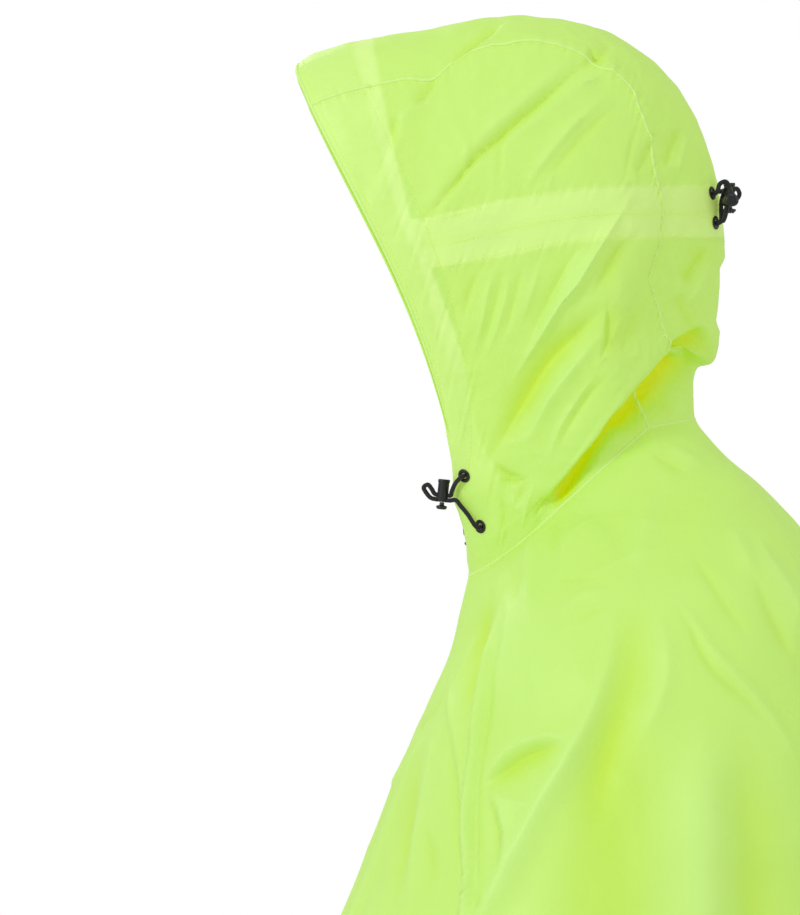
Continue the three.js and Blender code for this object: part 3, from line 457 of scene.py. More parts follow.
# Small maths.
def smooth(low, high, x):
    k = np.clip((x - low) / (high - low), 0, 1)
    return k * k * (3 - 2 * k)


def mix(a, b, k):
    return a + (b - a) * k


def unit(vectors):
    return vectors / np.maximum(np.linalg.norm(vectors, axis=-1, keepdims=True), 1e-9)


def catmull_weights(count, places):
    """Catmull-Rom weights: a row for each place, a column for each of count table rows."""
    first = np.clip(np.floor(places).astype(int), 0, count - 2)
    k = places - first
    values = [
        (-k + 2 * k**2 - k**3) / 2,
        (2 - 5 * k**2 + 3 * k**3) / 2,
        (k + 4 * k**2 - 3 * k**3) / 2,
        (-(k**2) + k**3) / 2,
    ]
    weights = np.zeros((len(places), count))
    for shift, value in enumerate(values, start=-1):
        np.add.at(weights, (np.arange(len(places)), np.clip(first + shift, 0, count - 1)), value)
    return weights


def curve_through(points, steps):
    """A smooth curve through points, with steps to each span."""
    points = np.asarray(points, float)
    places = np.linspace(0, len(points) - 1, (len(points) - 1) * steps + 1)
    return catmull_weights(len(points), places) @ points


def grid_normals(points, closed=False):
    """Unit normals of a grid of points [row, column], outwards."""
    down = np.gradient(points, axis=0)
    if closed:
        across = np.roll(points, -1, axis=1) - np.roll(points, 1, axis=1)
    else:
        across = np.gradient(points, axis=1)
    return unit(np.cross(across, down))


def line_relief(a, b, crease, line, ends=CREASE_ENDS, narrow=1):
    """Height over the plane places (a, b) of one crease along a line on that plane."""
    line = curve_through(line, 6)
    crease = crease._replace(left=crease.left * narrow, right=crease.right * narrow)
    reach = 2.6 * max(crease.left, crease.right)
    low, high = line.min(axis=0) - reach, line.max(axis=0) + reach
    near = (a > low[0]) & (a < high[0]) & (b > low[1]) & (b < high[1])
    height = np.zeros(a.shape)
    if not near.any():
        return height
    places = np.stack([a[near], b[near]], axis=-1)
    spans = np.diff(line, axis=0)
    lengths = np.linalg.norm(spans, axis=1)
    before = np.concatenate([[0], np.cumsum(lengths)])
    best = np.full(len(places), np.inf)
    share = np.zeros(len(places))
    hand = np.zeros(len(places))
    for start, span, length, passed in zip(line, spans, lengths, before):
        offset = places - start
        along = np.clip(offset @ span / length**2, 0, 1)
        apart = offset - along[:, None] * span
        far = np.hypot(apart[:, 0], apart[:, 1])
        closer = far < best
        best = np.where(closer, far, best)
        share = np.where(closer, (passed + along * length) / before[-1], share)
        hand = np.where(closer, span[0] * offset[:, 1] - span[1] * offset[:, 0], hand)
    fade = smooth(0, ends, share) * smooth(0, ends, 1 - share)
    # a crease runs out to a point
    width = np.where(hand > 0, crease.left, crease.right) * (0.35 + 0.65 * np.sqrt(fade))
    height[near] = crease.height * fade * np.exp(-((best / width) ** crease.power))
    return height


def plotted(line):
    """Side-view millimetres (y, z) of a line plotted on the side view's grid."""
    return [((x - PLOT_ORIGIN[0]) * PLOT_STEP, (PLOT_ORIGIN[1] - z) * PLOT_STEP) for x, z in line]


def seen(points, side):
    """Side-view places (y, z) of points, as they are seen by the eye on that side."""
    scale = EYE_DISTANCE / (EYE_DISTANCE - side * points[..., 0])
    y = EYE_LEVEL[0] + (points[..., 1] - EYE_LEVEL[0]) * scale
    z = EYE_LEVEL[1] + (points[..., 2] - EYE_LEVEL[1]) * scale
    return y, z


def other_side(creases):
    """Like creases for the side that isn't plotted, each a little off its twin in place and
    size."""
    twins = []
    for i, crease in enumerate(creases):
        aside, up = 9 * math.sin(2.4 * i + 0.7), 8 * math.cos(1.9 * i + 0.3)
        size = 0.85 + 0.35 * math.sin(3.1 * i)
        line = [(x + aside + 3 * math.sin(k + i), z + up) for k, (x, z) in enumerate(crease.line)]
        twins.append(crease._replace(height=crease.height * size, line=line))
    return twins


def side_relief(points, creases, clear=(6, 34), narrow=1, ends=CREASE_ENDS):
    """Relief of side-view creases on both sides of the body."""
    total = np.zeros(points.shape[:-1])
    for side, table in ((1, creases), (-1, other_side(creases))):
        beside = smooth(*clear, points[..., 0] * side)
        y, z = seen(points, side)
        for crease in table:
            total += beside * line_relief(y, z, crease, plotted(crease.line), ends, narrow)
    return total


def waves(points, size, seed, crisp=False):
    """Soft irregular waves from -1 to 1 over points, with a typical length of size mm. Crisp ones
    have sharp crests, as thin coated cloth has where it was folded."""
    random = np.random.default_rng(seed)
    total = np.zeros(points.shape[:-1])
    for _ in range(9):
        direction = unit(random.normal(size=3)) * 2 * np.pi / (size * random.uniform(0.7, 1.5))
        bend = unit(random.normal(size=3)) * 2 * np.pi / (size * 2.3)
        phase = points @ direction + random.uniform(0, 2 * np.pi)
        total += np.sin(phase + 1.3 * np.sin(points @ bend + random.uniform(0, 2 * np.pi)))
    total /= 4.5
    return 1 - 2 * np.abs(np.tanh(total)) if crisp else np.tanh(total)


# Hood surface.
def columns_of(table):
    """A table of rows as one row of upright arrays."""
    return type(table[0])(*(np.array(column, float)[:, None] for column in zip(*table)))


def arch_lines(t):
    """Every arch's points at the places t (0 crown line, 1 centre front): [arch, place, xyz]."""
    arch = columns_of(HOOD_ARCHES)
    t = np.abs(np.asarray(t, float))[None, :]
    w = np.minimum(t, SEAM_T) / SEAM_T
    fall = w**CROWN_ROUND
    crown = (
        arch.seam_x * w,
        mix(arch.apex_y, arch.seam_y, fall),
        mix(arch.apex_z, arch.seam_z, fall),
    )
    f = 1 - (1 - np.clip((t - SEAM_T) / (1 - SEAM_T), 0, 1)) ** CHIN_CROWD
    dy, dz = arch.base_y - arch.seam_y, arch.base_z - arch.seam_z
    bend = arch.bow * np.sin(np.pi * f**arch.bow_at) / np.hypot(dy, dz)
    widen = smooth(-CHEEK_SHARE, CHEEK_SHARE, f) * 2 - 1
    inward = np.maximum(0, (f - CHEEK_SHARE) / (1 - CHEEK_SHARE))
    turn_in = (1 - CHIN_TAPER * inward**2) * (1 - inward**CHIN_ROUND) ** (1 / CHIN_ROUND)
    side = (
        mix(arch.seam_x, arch.side_x, widen) * turn_in,
        arch.seam_y + dy * f - dz * bend,
        arch.seam_z + dz * f + dy * bend,
    )
    return np.stack([np.where(t < SEAM_T, c, s) for c, s in zip(crown, side)], axis=-1)


def hood_form(u, t):
    """The hood's plain form [u, t, xyz]: u 0 face opening to 1 neck seam, t as in arch_lines, with
    a negative t for the right side."""
    arches = arch_lines(t)
    share = (np.abs(t) - SEAM_T) / (1 - SEAM_T)
    flat = smooth(*FOLD_FADE, share)[None, :, None]
    rows = np.arange(FOLD_FIRST, FOLD_LAST + 1)
    step = ((rows - FOLD_FIRST) / (FOLD_LAST - FOLD_FIRST))[:, None, None]
    even = mix(arches[FOLD_FIRST], arches[FOLD_LAST], step)
    arches[rows] = mix(arches[rows], even, flat)
    last = len(HOOD_ARCHES) - 1
    points = np.einsum("ur,rtc->utc", catmull_weights(last + 1, u * last), arches)
    points[..., 0] *= np.where(t < 0, -1, 1)
    return points


def between(x, lower, upper, blur):
    return smooth(-blur, blur, x - lower) * smooth(-blur, blur, upper - x)


def hood_bands(points):
    """Where the hood's cloth is doubled by a casing, and where it is stitched or turned in pale
    strips, each from 0 to 1; and the distance in mm to the nearest edge of a casing."""
    doubled, pale, edge = (np.zeros(points.shape[:-1]) for _ in range(3))
    for side in (1, -1):
        on_side = points[..., 0] * side >= 0
        y, z = seen(points, side)
        x_plot = y / PLOT_STEP + PLOT_ORIGIN[0]
        z_plot = PLOT_ORIGIN[1] - z / PLOT_STEP
        front, back = (np.interp(z_plot, *zip(*[(b, a) for a, b in line]))
                       for line in (STRIP_FRONT, STRIP_BACK))
        upper, lower = (np.interp(x_plot, *zip(*line))
                        for line in (HEAD_CASING_UPPER, HEAD_CASING_LOWER))
        above = smooth(500, 462, z_plot)
        strip = between(x_plot, front, back, 2.5) * above * mix(0.4, 1, smooth(420, 300, z_plot))
        behind = smooth(-1.5, 1.5, x_plot - back)
        casing = between(z_plot, upper, lower, 1.2) * behind
        height = lower - upper
        rims = sum(between(z_plot, upper + a * height, upper + b * height, 1.4)
                   for a, b in CASING_BANDS) * behind
        face = smooth(-1.5, 1.5, front - x_plot) * above
        doubled = np.where(on_side, np.clip(casing + 0.7 * face + strip, 0, 1), doubled)
        pale = np.where(on_side, np.clip(0.38 * strip + 0.2 * rims, 0, 1), pale)
        nearest = np.minimum(np.abs(z_plot - upper), np.abs(z_plot - lower)) + 40 * (1 - behind)
        nearest = np.minimum(nearest, np.minimum(np.abs(x_plot - back), np.abs(x_plot - front)))
        edge = np.where(on_side, nearest * PLOT_STEP, edge)
    return doubled, pale, edge


def puckers(along, apart, pitch, reach, seed):
    """Small gathers beside a stitched line: along it and apart from it in mm."""
    random = np.random.default_rng(seed)
    phase = sum(np.sin(along * 2 * np.pi / (pitch * k) + random.uniform(0, 6)) / k
                for k in (2.3, 3.7, 6.1))
    gather = np.sin(along * 2 * np.pi / pitch + 2.4 * phase)
    return gather * (0.55 + 0.45 * np.sin(phase * 2.2)) * np.exp(-((apart / reach) ** 1.5))


def hood_puckers(points, t):
    along = lengths_down(points)
    across = np.linalg.norm(np.diff(points, axis=1), axis=-1)
    reach = np.concatenate([np.zeros((len(points), 1)), np.cumsum(across, axis=1)], axis=1)
    total = np.zeros(points.shape[:-1])
    for seed, seam_t in ((41, SEAM_T), (43, -SEAM_T)):
        column = np.abs(t - seam_t).argmin()
        apart = np.abs(reach - reach[:, column][:, None])
        total += 0.55 * puckers(along, apart, 8.5, 9, seed)
    total += 0.5 * puckers(reach, along[-1][None, :] - along, 9, 9, 47)
    edge = hood_bands(points)[2]
    total += 0.4 * puckers(points @ np.array([0.5, 0.9, -0.35]), edge, 7.5, 6, 53)
    return total


def hood_relief(points, u, t):
    """Height of the creases over the hood's form, and the painted shade and highlight of their
    folds as in Sheet.
    """
    settings = bpy.context.scene.poncho
    narrow = settings.crease_width
    fine = side_relief(points, HOOD_CREASES, narrow=narrow)
    shade = smooth(0.82, 0.86, u)[:, None] * side_relief(points, COLLAR_SHADE_CREASES, ends=0.12)
    fine += 0.35 * shade
    behind = smooth(10, 60, points[..., 1])
    flats = np.zeros(points.shape[:-1])
    for side, creases in ((1, HOOD_BACK_CREASES), (-1, other_side(HOOD_BACK_CREASES))):
        y, z = seen(points, side)
        for crease in creases:
            beside = smooth(2, 20, points[..., 0] * side)
            relief = line_relief(y, z, crease, plotted(crease.line), 0.25, narrow)
            fine += behind * beside * relief
        for crease in CROWN_FLATS:
            rolling_in = line_relief(y, z, crease, plotted(crease.line), 0.2)
            flats = np.where(points[..., 0] * side >= 0, rolling_in, flats)
    rolling = 1.2 * waves(points, 95, 3) + 0.4 * waves(points, 34, 11)
    rolling += 0.5 * waves(points, 60, 21, crisp=True) + 0.22 * waves(points, 24, 37, crisp=True)
    puckered = hood_puckers(points, t)
    passed = lengths_down(points)
    calm = smooth(0, 0.035, u)[:, None] * smooth(0, 14, passed[-1] - passed)
    for seat in SEATS_LEFT.values():
        for side in (1, -1):
            spot = np.array(seat.point) * (side, 1, 1)
            calm = calm * smooth(7, 26, np.linalg.norm(points - spot, axis=-1))
    relief = (fine + flats + rolling + puckered) * calm * settings.crease_strength
    return relief, (fine + 0.65 * shade + puckered + 0.2 * rolling) / FOLD_TONE


class Sheet:
    """A grid of points over a cloth surface, with the places of its rows and columns."""

    def __init__(self, rows, columns, points, tone, closed=False):
        self.rows, self.columns, self.points = rows, columns, points
        self.normals = grid_normals(points, closed)
        # fold sets the painted shade of troughs and deep folds and the painted highlight of ridges
        self.fold = np.clip(tone, -2, 1)  # -2 in a deep fold, -1 in a trough, 1 on a ridge

    def at(self, row, column, out=0):
        """Points at places, moved out along the normal by out mm. Columns rise or fall."""
        order = self.columns if self.columns[0] < self.columns[-1] else -self.columns
        column = column if self.columns[0] < self.columns[-1] else -np.asarray(column)
        i = np.interp(row, self.rows, np.arange(len(self.rows)))
        j = np.interp(column, order, np.arange(len(order)))
        i, j = np.broadcast_arrays(i, j)
        i0 = np.minimum(i.astype(int), len(self.rows) - 2)
        j0 = np.minimum(j.astype(int), len(order) - 2)
        a, b = (i - i0)[..., None], (j - j0)[..., None]

        def blend(grid):
            return mix(mix(grid[i0, j0], grid[i0, j0 + 1], b),
                       mix(grid[i0 + 1, j0], grid[i0 + 1, j0 + 1], b), a)

        return blend(self.points) + unit(blend(self.normals)) * np.asarray(out)[..., None]


def seam_sway(u):
    """How far along the arches the crown seam lies from its plain place, for every row."""
    sway = np.linspace(-SEAM_SWAY, SEAM_SWAY, 57)
    rows = hood_form(u, SEAM_T + sway)
    line = Crease(1, 30, 30, 1, CROWN_SEAM)
    near = line_relief(*seen(rows, 1), line, plotted(CROWN_SEAM), ends=1e-6)
    near = np.where(near > 0.3, near, 0)
    best = sway[near.argmax(axis=1)] * (near.max(axis=1) > 0)
    kernel = np.hanning(9) / np.hanning(9).sum()
    best = np.convolve(np.pad(best, 4, mode="edge"), kernel, mode="valid")
    return best * smooth(0.82, 0.77, u)


@lru_cache(maxsize=None)
def hood_sheet():
    """The whole hood as one grid of points, from its right centre front round to its left."""
    settings = bpy.context.scene.poncho
    u = np.linspace(0, 1, settings.hood_rows + 1)
    f = 1 - (1 - np.linspace(0, 1, settings.hood_columns + 1)) ** 1.5
    side = SEAM_T + (1 - SEAM_T) * (1 - (1 - f) ** (1 / CHIN_CROWD))
    crown = np.linspace(0, SEAM_T, settings.hood_columns // 4 + 1)[:-1]
    half = np.concatenate([crown, side])
    t = np.concatenate([-half[:0:-1], half])
    plain = hood_form(u, t)
    # the columns sway with the seam, most at the seam itself
    window = smooth(0, SEAM_T, np.abs(t)) * smooth(0.85, SEAM_T, np.abs(t)) * np.sign(t)
    form = np.empty_like(plain)
    for row, sway in enumerate(seam_sway(u)):
        for axis in range(3):
            form[row, :, axis] = np.interp(t + sway * window, t, plain[row, :, axis])
    relief, tone = hood_relief(form, u, t)
    points = form + relief[..., None] * grid_normals(form)
    points[:, (0, -1), 0] = 0
    # the peak is rounded off
    apex = form[0, len(t) // 2, 1:]
    from_apex = np.linalg.norm(points[..., 1:] - apex, axis=-1)
    near = np.clip(1 - from_apex / PEAK_REACH, 0, 1) ** 2
    points[..., 1:] += near[..., None] * PEAK_ROUND * np.array([0.7, -0.7])
    below = np.linalg.norm(points[..., 1:] - (apex - (0, PEAK_DROP)), axis=-1) / PEAK_REACH
    points[..., 1] -= PEAK_SWELL * np.exp(-(below**2))
    return Sheet(u, t, points, tone)


# Cape surface.
def neck_ring(turn):
    half = np.where(turn <= 0.5, turn * 2, (1 - turn) * 2)
    ring = arch_lines(1 - half)[FOLD_LAST]
    ring[:, 0] *= np.where(turn > 0.5, -1, 1)
    return ring


def section_rings(turn):
    section = columns_of(CAPE_SECTIONS)
    forward, sideways = np.cos(2 * np.pi * turn)[None, :], np.sin(2 * np.pi * turn)[None, :]
    share = np.abs(forward)
    ahead = forward > 0
    x = section.half_x * np.sign(sideways) * np.abs(sideways) ** section.square
    reach = np.where(ahead, section.front_y, section.back_y) - section.widest_y
    y = section.widest_y + reach * share**section.square
    z = mix(section.side_z, np.where(ahead, section.front_z, section.back_z), share**1.4)
    return np.stack([x, y, z], axis=-1)


def cape_form(turn, down):
    """The cape's plain form [down, turn, xyz]: down 0 neck seam to 1 hem, turn 0 centre front,
    0.25 left side."""
    rings = np.concatenate([neck_ring(turn)[None], section_rings(turn)])
    weights = catmull_weights(len(rings), down * (len(rings) - 1))
    return np.einsum("dr,rtc->dtc", weights, rings)


def large_folds(points):
    total = np.zeros(points.shape[:-1])
    beside = smooth(*FOLD_CLEAR_X, -points[..., 0])
    for fold in RIGHT_FOLDS:
        bell = Crease(fold.height, fold.width, fold.width, 2, fold.line)
        relief = line_relief(points[..., 1], points[..., 2], bell, fold.line, FOLD_ENDS)
        total += beside * relief
    return total


def flute_depth(turn, down):
    total = np.zeros((len(down), len(turn)))
    for flute in HEM_FLUTES:
        apart = (turn * 360 - flute.at + 540) % 360 - 180
        opening = smooth(flute.start, 1, down)[:, None]
        total += flute.depth * opening * np.exp(-((apart / flute.half) ** 2))[None, :]
    return total


def cape_relief(points, down):
    settings = bpy.context.scene.poncho
    x, y, z = points[..., 0], points[..., 1], points[..., 2]
    narrow = settings.crease_width
    small = side_relief(points, CAPE_CREASES, clear=(6, 46), narrow=narrow)
    large = np.zeros(x.shape)
    seen_y, seen_z = seen(points, 1)
    for crease in LEFT_FOLDS:
        large += smooth(6, 46, x) * line_relief(seen_y, seen_z, crease, plotted(crease.line))
    for crease in CAPE_BACK_CREASES:
        large += smooth(40, 120, y) * line_relief(x, z, crease, crease.line)
    for crease in CAPE_FRONT_CREASES:
        large += smooth(-60, -130, y) * line_relief(x, z, crease, crease.line)
    rolling = 2.2 * waves(points, 170, 5) + 0.7 * waves(points, 60, 17)
    rolling += 0.8 * waves(points, 85, 29, crisp=True)
    # the cloth hangs straight down the middle of the front
    rolling *= mix(1, smooth(15, 90, np.abs(x)), smooth(0, -90, y))
    relief = (small + large + rolling) * smooth(0, 0.035, down)[:, None]
    # the second value is the folds' painted shade and highlight, as in Sheet
    return relief * settings.crease_strength, (small + 0.7 * large + 0.2 * rolling) / FOLD_TONE


@lru_cache(maxsize=None)
def cape_sheet():
    """The cape as a closed grid of points; its columns run from the front over the right side."""
    settings = bpy.context.scene.poncho
    left = np.linspace(0, 0.5, LEFT_COLUMNS, endpoint=False)
    right = np.linspace(0.5, 1, RIGHT_COLUMNS, endpoint=False)
    turn = np.concatenate([left, right])[::-1]
    above = np.linspace(0, 0.5, int(settings.cape_rows * UPPER_ROWS), endpoint=False)
    below = np.linspace(0.5, 1, settings.cape_rows + 1 - len(above))
    down = np.concatenate([above, below])
    form = cape_form(turn, down)
    out = large_folds(form) + flute_depth(turn, down)
    folded = form + out[..., None] * grid_normals(form, closed=True)
    relief, tone = cape_relief(folded, down)
    points = folded + relief[..., None] * grid_normals(folded, closed=True)
    return Sheet(down, turn, points, tone, closed=True)


# Sewn lines.
def crossings(values):
    """The first row, as a fraction of a row, at which each column of values rises through 0; not a
    number where it doesn't."""
    rises = (values[:-1] <= 0) & (values[1:] > 0)
    first = rises.argmax(axis=0)
    columns = np.arange(values.shape[1])
    before, after = values[first, columns], values[first + 1, columns]
    share = before / np.where(before == after, 1, before - after)
    return np.where(rises.any(axis=0), first + share, np.nan)


def lengths_down(points):
    """How far every point of a grid lies from its first row, along its column."""
    steps = np.linalg.norm(np.diff(points, axis=0), axis=-1)
    return np.concatenate([np.zeros((1, points.shape[1])), np.cumsum(steps, axis=0)])


def face_casing_width(t):
    return mix(FACE_CASING_TOP, FACE_CASING_LOW, smooth(SEAM_T, 0.7, np.abs(t)))


def head_casing_rise(points):
    """Height over the middle line of the head casing."""
    y = points[..., 1]
    top_y, top_z = HEAD_CASING_TOP
    return points[..., 2] - (top_z - HEAD_CASING_DROP * (y - top_y) ** 2)


def face_casing_line(share, count=260):
    """Places (row, column) along the face casing, at a share of its width."""
    sheet = hood_sheet()
    behind = lengths_down(sheet.points) - share * face_casing_width(sheet.columns)
    t = np.linspace(-FACE_CASING_END, FACE_CASING_END, count)
    u = np.interp(crossings(behind), np.arange(len(sheet.rows)), sheet.rows)
    return np.interp(t, sheet.columns, u), t


def head_casing_line(share, count=260):
    """Places along the head casing, at a share of its width over its middle."""
    sheet = hood_sheet()
    below = share * HEAD_CASING_WIDTH - head_casing_rise(sheet.points)
    behind = lengths_down(sheet.points) - face_casing_width(sheet.columns) - 3
    rows = crossings(below)
    known = np.isfinite(rows)
    places = np.where(known, rows, 0).astype(int)
    clear = known & (behind[places, np.arange(len(sheet.columns))] > 0)
    ends = np.abs(sheet.columns[clear])
    end = ends[ends < 0.9].max()
    t = np.linspace(-end, end, count)
    u = np.interp(rows[clear], np.arange(len(sheet.rows)), sheet.rows)
    return np.interp(t, sheet.columns[clear], u), t


def ridge(path, out, width, height, sides=10, closed=False):
    """A round ridge of folded cloth along a path, half sunk where out is outwards: [place, xyz]."""
    if closed:
        along = unit(np.roll(path, -1, axis=0) - np.roll(path, 1, axis=0))
    else:
        along = unit(np.gradient(path, axis=0))
    across = unit(np.cross(out, along))
    angle = np.linspace(0, 2 * np.pi, sides, endpoint=False)
    uneven = 1 + 0.12 * np.sin(np.arange(len(path)) * 0.9) * np.sin(np.arange(len(path)) * 0.23)
    points = path[:, None] + across[:, None] * (np.cos(angle) * width / 2)[None, :, None]
    lift = (np.sin(angle) * height)[None, :, None] * uneven[:, None, None]
    points = points + out[:, None] * lift
    return np.concatenate([points, points[:1]]) if closed else points


def stitch_rings(path, out, pitch):
    """Rings of separate stitches along a path: four rings of six points to a stitch."""
    steps = np.linalg.norm(np.diff(path, axis=0), axis=1)
    passed = np.concatenate([[0], np.cumsum(steps)])
    count = max(1, int(passed[-1] / pitch))
    places = (np.arange(count)[:, None] * pitch + np.array([0.0, 0.14, 0.56, 0.7]) * pitch).ravel()
    middle = np.stack([np.interp(places, passed, path[:, i]) for i in range(3)], axis=1)
    normal = unit(np.stack([np.interp(places, passed, out[:, i]) for i in range(3)], axis=1))
    ahead = np.stack([np.interp(places + 0.4, passed, path[:, i]) for i in range(3)], axis=1)
    behind = np.stack([np.interp(places - 0.4, passed, path[:, i]) for i in range(3)], axis=1)
    across = unit(np.cross(normal, unit(ahead - behind)))
    lift = np.tile([-0.05, 0.2, 0.2, -0.05], count)[:, None]
    radius = np.tile([0.4, 1, 1, 0.4], count)[:, None, None] * THREAD_RADIUS
    angle = np.linspace(0, 2 * np.pi, 6, endpoint=False)[None, :, None]
    ring = np.cos(angle) * across[:, None] + np.sin(angle) * normal[:, None]
    return (middle + normal * lift)[:, None] + radius * ring


# Making objects.
def add_node(material, kind, inputs=None, **settings):
    """Adds a node with its settings; an input's value is a number, a colour or another socket."""
    node = material.node_tree.nodes.new(kind)
    for name, value in settings.items():
        setattr(node, name, value)
    for name, value in (inputs or {}).items():
        if isinstance(value, bpy.types.NodeSocket):
            material.node_tree.links.new(value, node.inputs[name])
        else:
            node.inputs[name].default_value = value
    return node


def grid_mesh(name, points, closed=False, bands=None, run=None):
    """A mesh of quads over a grid of points in mm [row, column], with UVs in metres. run is how
    many rows there are to a piece where the grid is a string of separate ones."""
    rows, columns = points.shape[:2]
    spans = columns if closed else columns - 1
    ids = np.arange(rows * columns).reshape(rows, columns)
    first, second = ids, np.roll(ids, -1, axis=1)
    quads = np.stack([first[:-1, :spans], second[:-1, :spans], second[1:, :spans],
                      first[1:, :spans]], axis=-1)
    corners = corner_uvs(arc_lengths(points, closed), spans)
    if run:
        kept = np.arange(1, rows) % run > 0
        quads, corners = quads[kept], corners[kept]
    quads = quads.reshape(-1, 4)
    mesh = bpy.data.meshes.new(name)
    mesh.vertices.add(rows * columns)
    mesh.vertices.foreach_set("co", (points.reshape(-1) * MM).astype(np.float32))
    mesh.loops.add(quads.size)
    mesh.loops.foreach_set("vertex_index", quads.reshape(-1).astype(np.int32))
    mesh.polygons.add(len(quads))
    mesh.polygons.foreach_set("loop_start", np.arange(0, quads.size, 4, dtype=np.int32))
    mesh.update(calc_edges=True)
    mesh.shade_smooth()
    layer = mesh.uv_layers.new(name="UVMap")
    layer.data.foreach_set("uv", (corners.reshape(-1) * MM).astype(np.float32))
    for key, values in (bands or {}).items():
        attribute = mesh.attributes.new(key, "FLOAT", "POINT")
        attribute.data.foreach_set("value", values.reshape(-1).astype(np.float32))
    mesh.validate()
    return mesh


def arc_lengths(points, closed):
    """(across, down) lengths over a grid in mm; a closed grid gets one more column."""
    if closed:
        points = np.concatenate([points, points[:, :1]], axis=1)
    across = np.linalg.norm(np.diff(points, axis=1), axis=-1)
    down = np.linalg.norm(np.diff(points, axis=0), axis=-1)
    u = np.concatenate([np.zeros((len(points), 1)), np.cumsum(across, axis=1)], axis=1)
    u -= u[:, u.shape[1] // 2][:, None]
    v = np.concatenate([np.zeros((1, points.shape[1])), np.cumsum(down, axis=0)], axis=0)
    return np.stack([u, -v], axis=-1)


def corner_uvs(uv, spans):
    return np.stack([uv[:-1, :spans], uv[:-1, 1 : spans + 1], uv[1:, 1 : spans + 1],
                     uv[1:, :spans]], axis=2)


def place(name, mesh, material, replaced=()):
    """Links a piece to the scene, on the garment's body."""
    piece = bpy.data.objects.new(name, mesh)
    bpy.context.scene.collection.objects.link(piece)
    mesh.materials.append(material)
    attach(piece, BODY)
    if replaced:
        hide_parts(*replaced)
    return piece


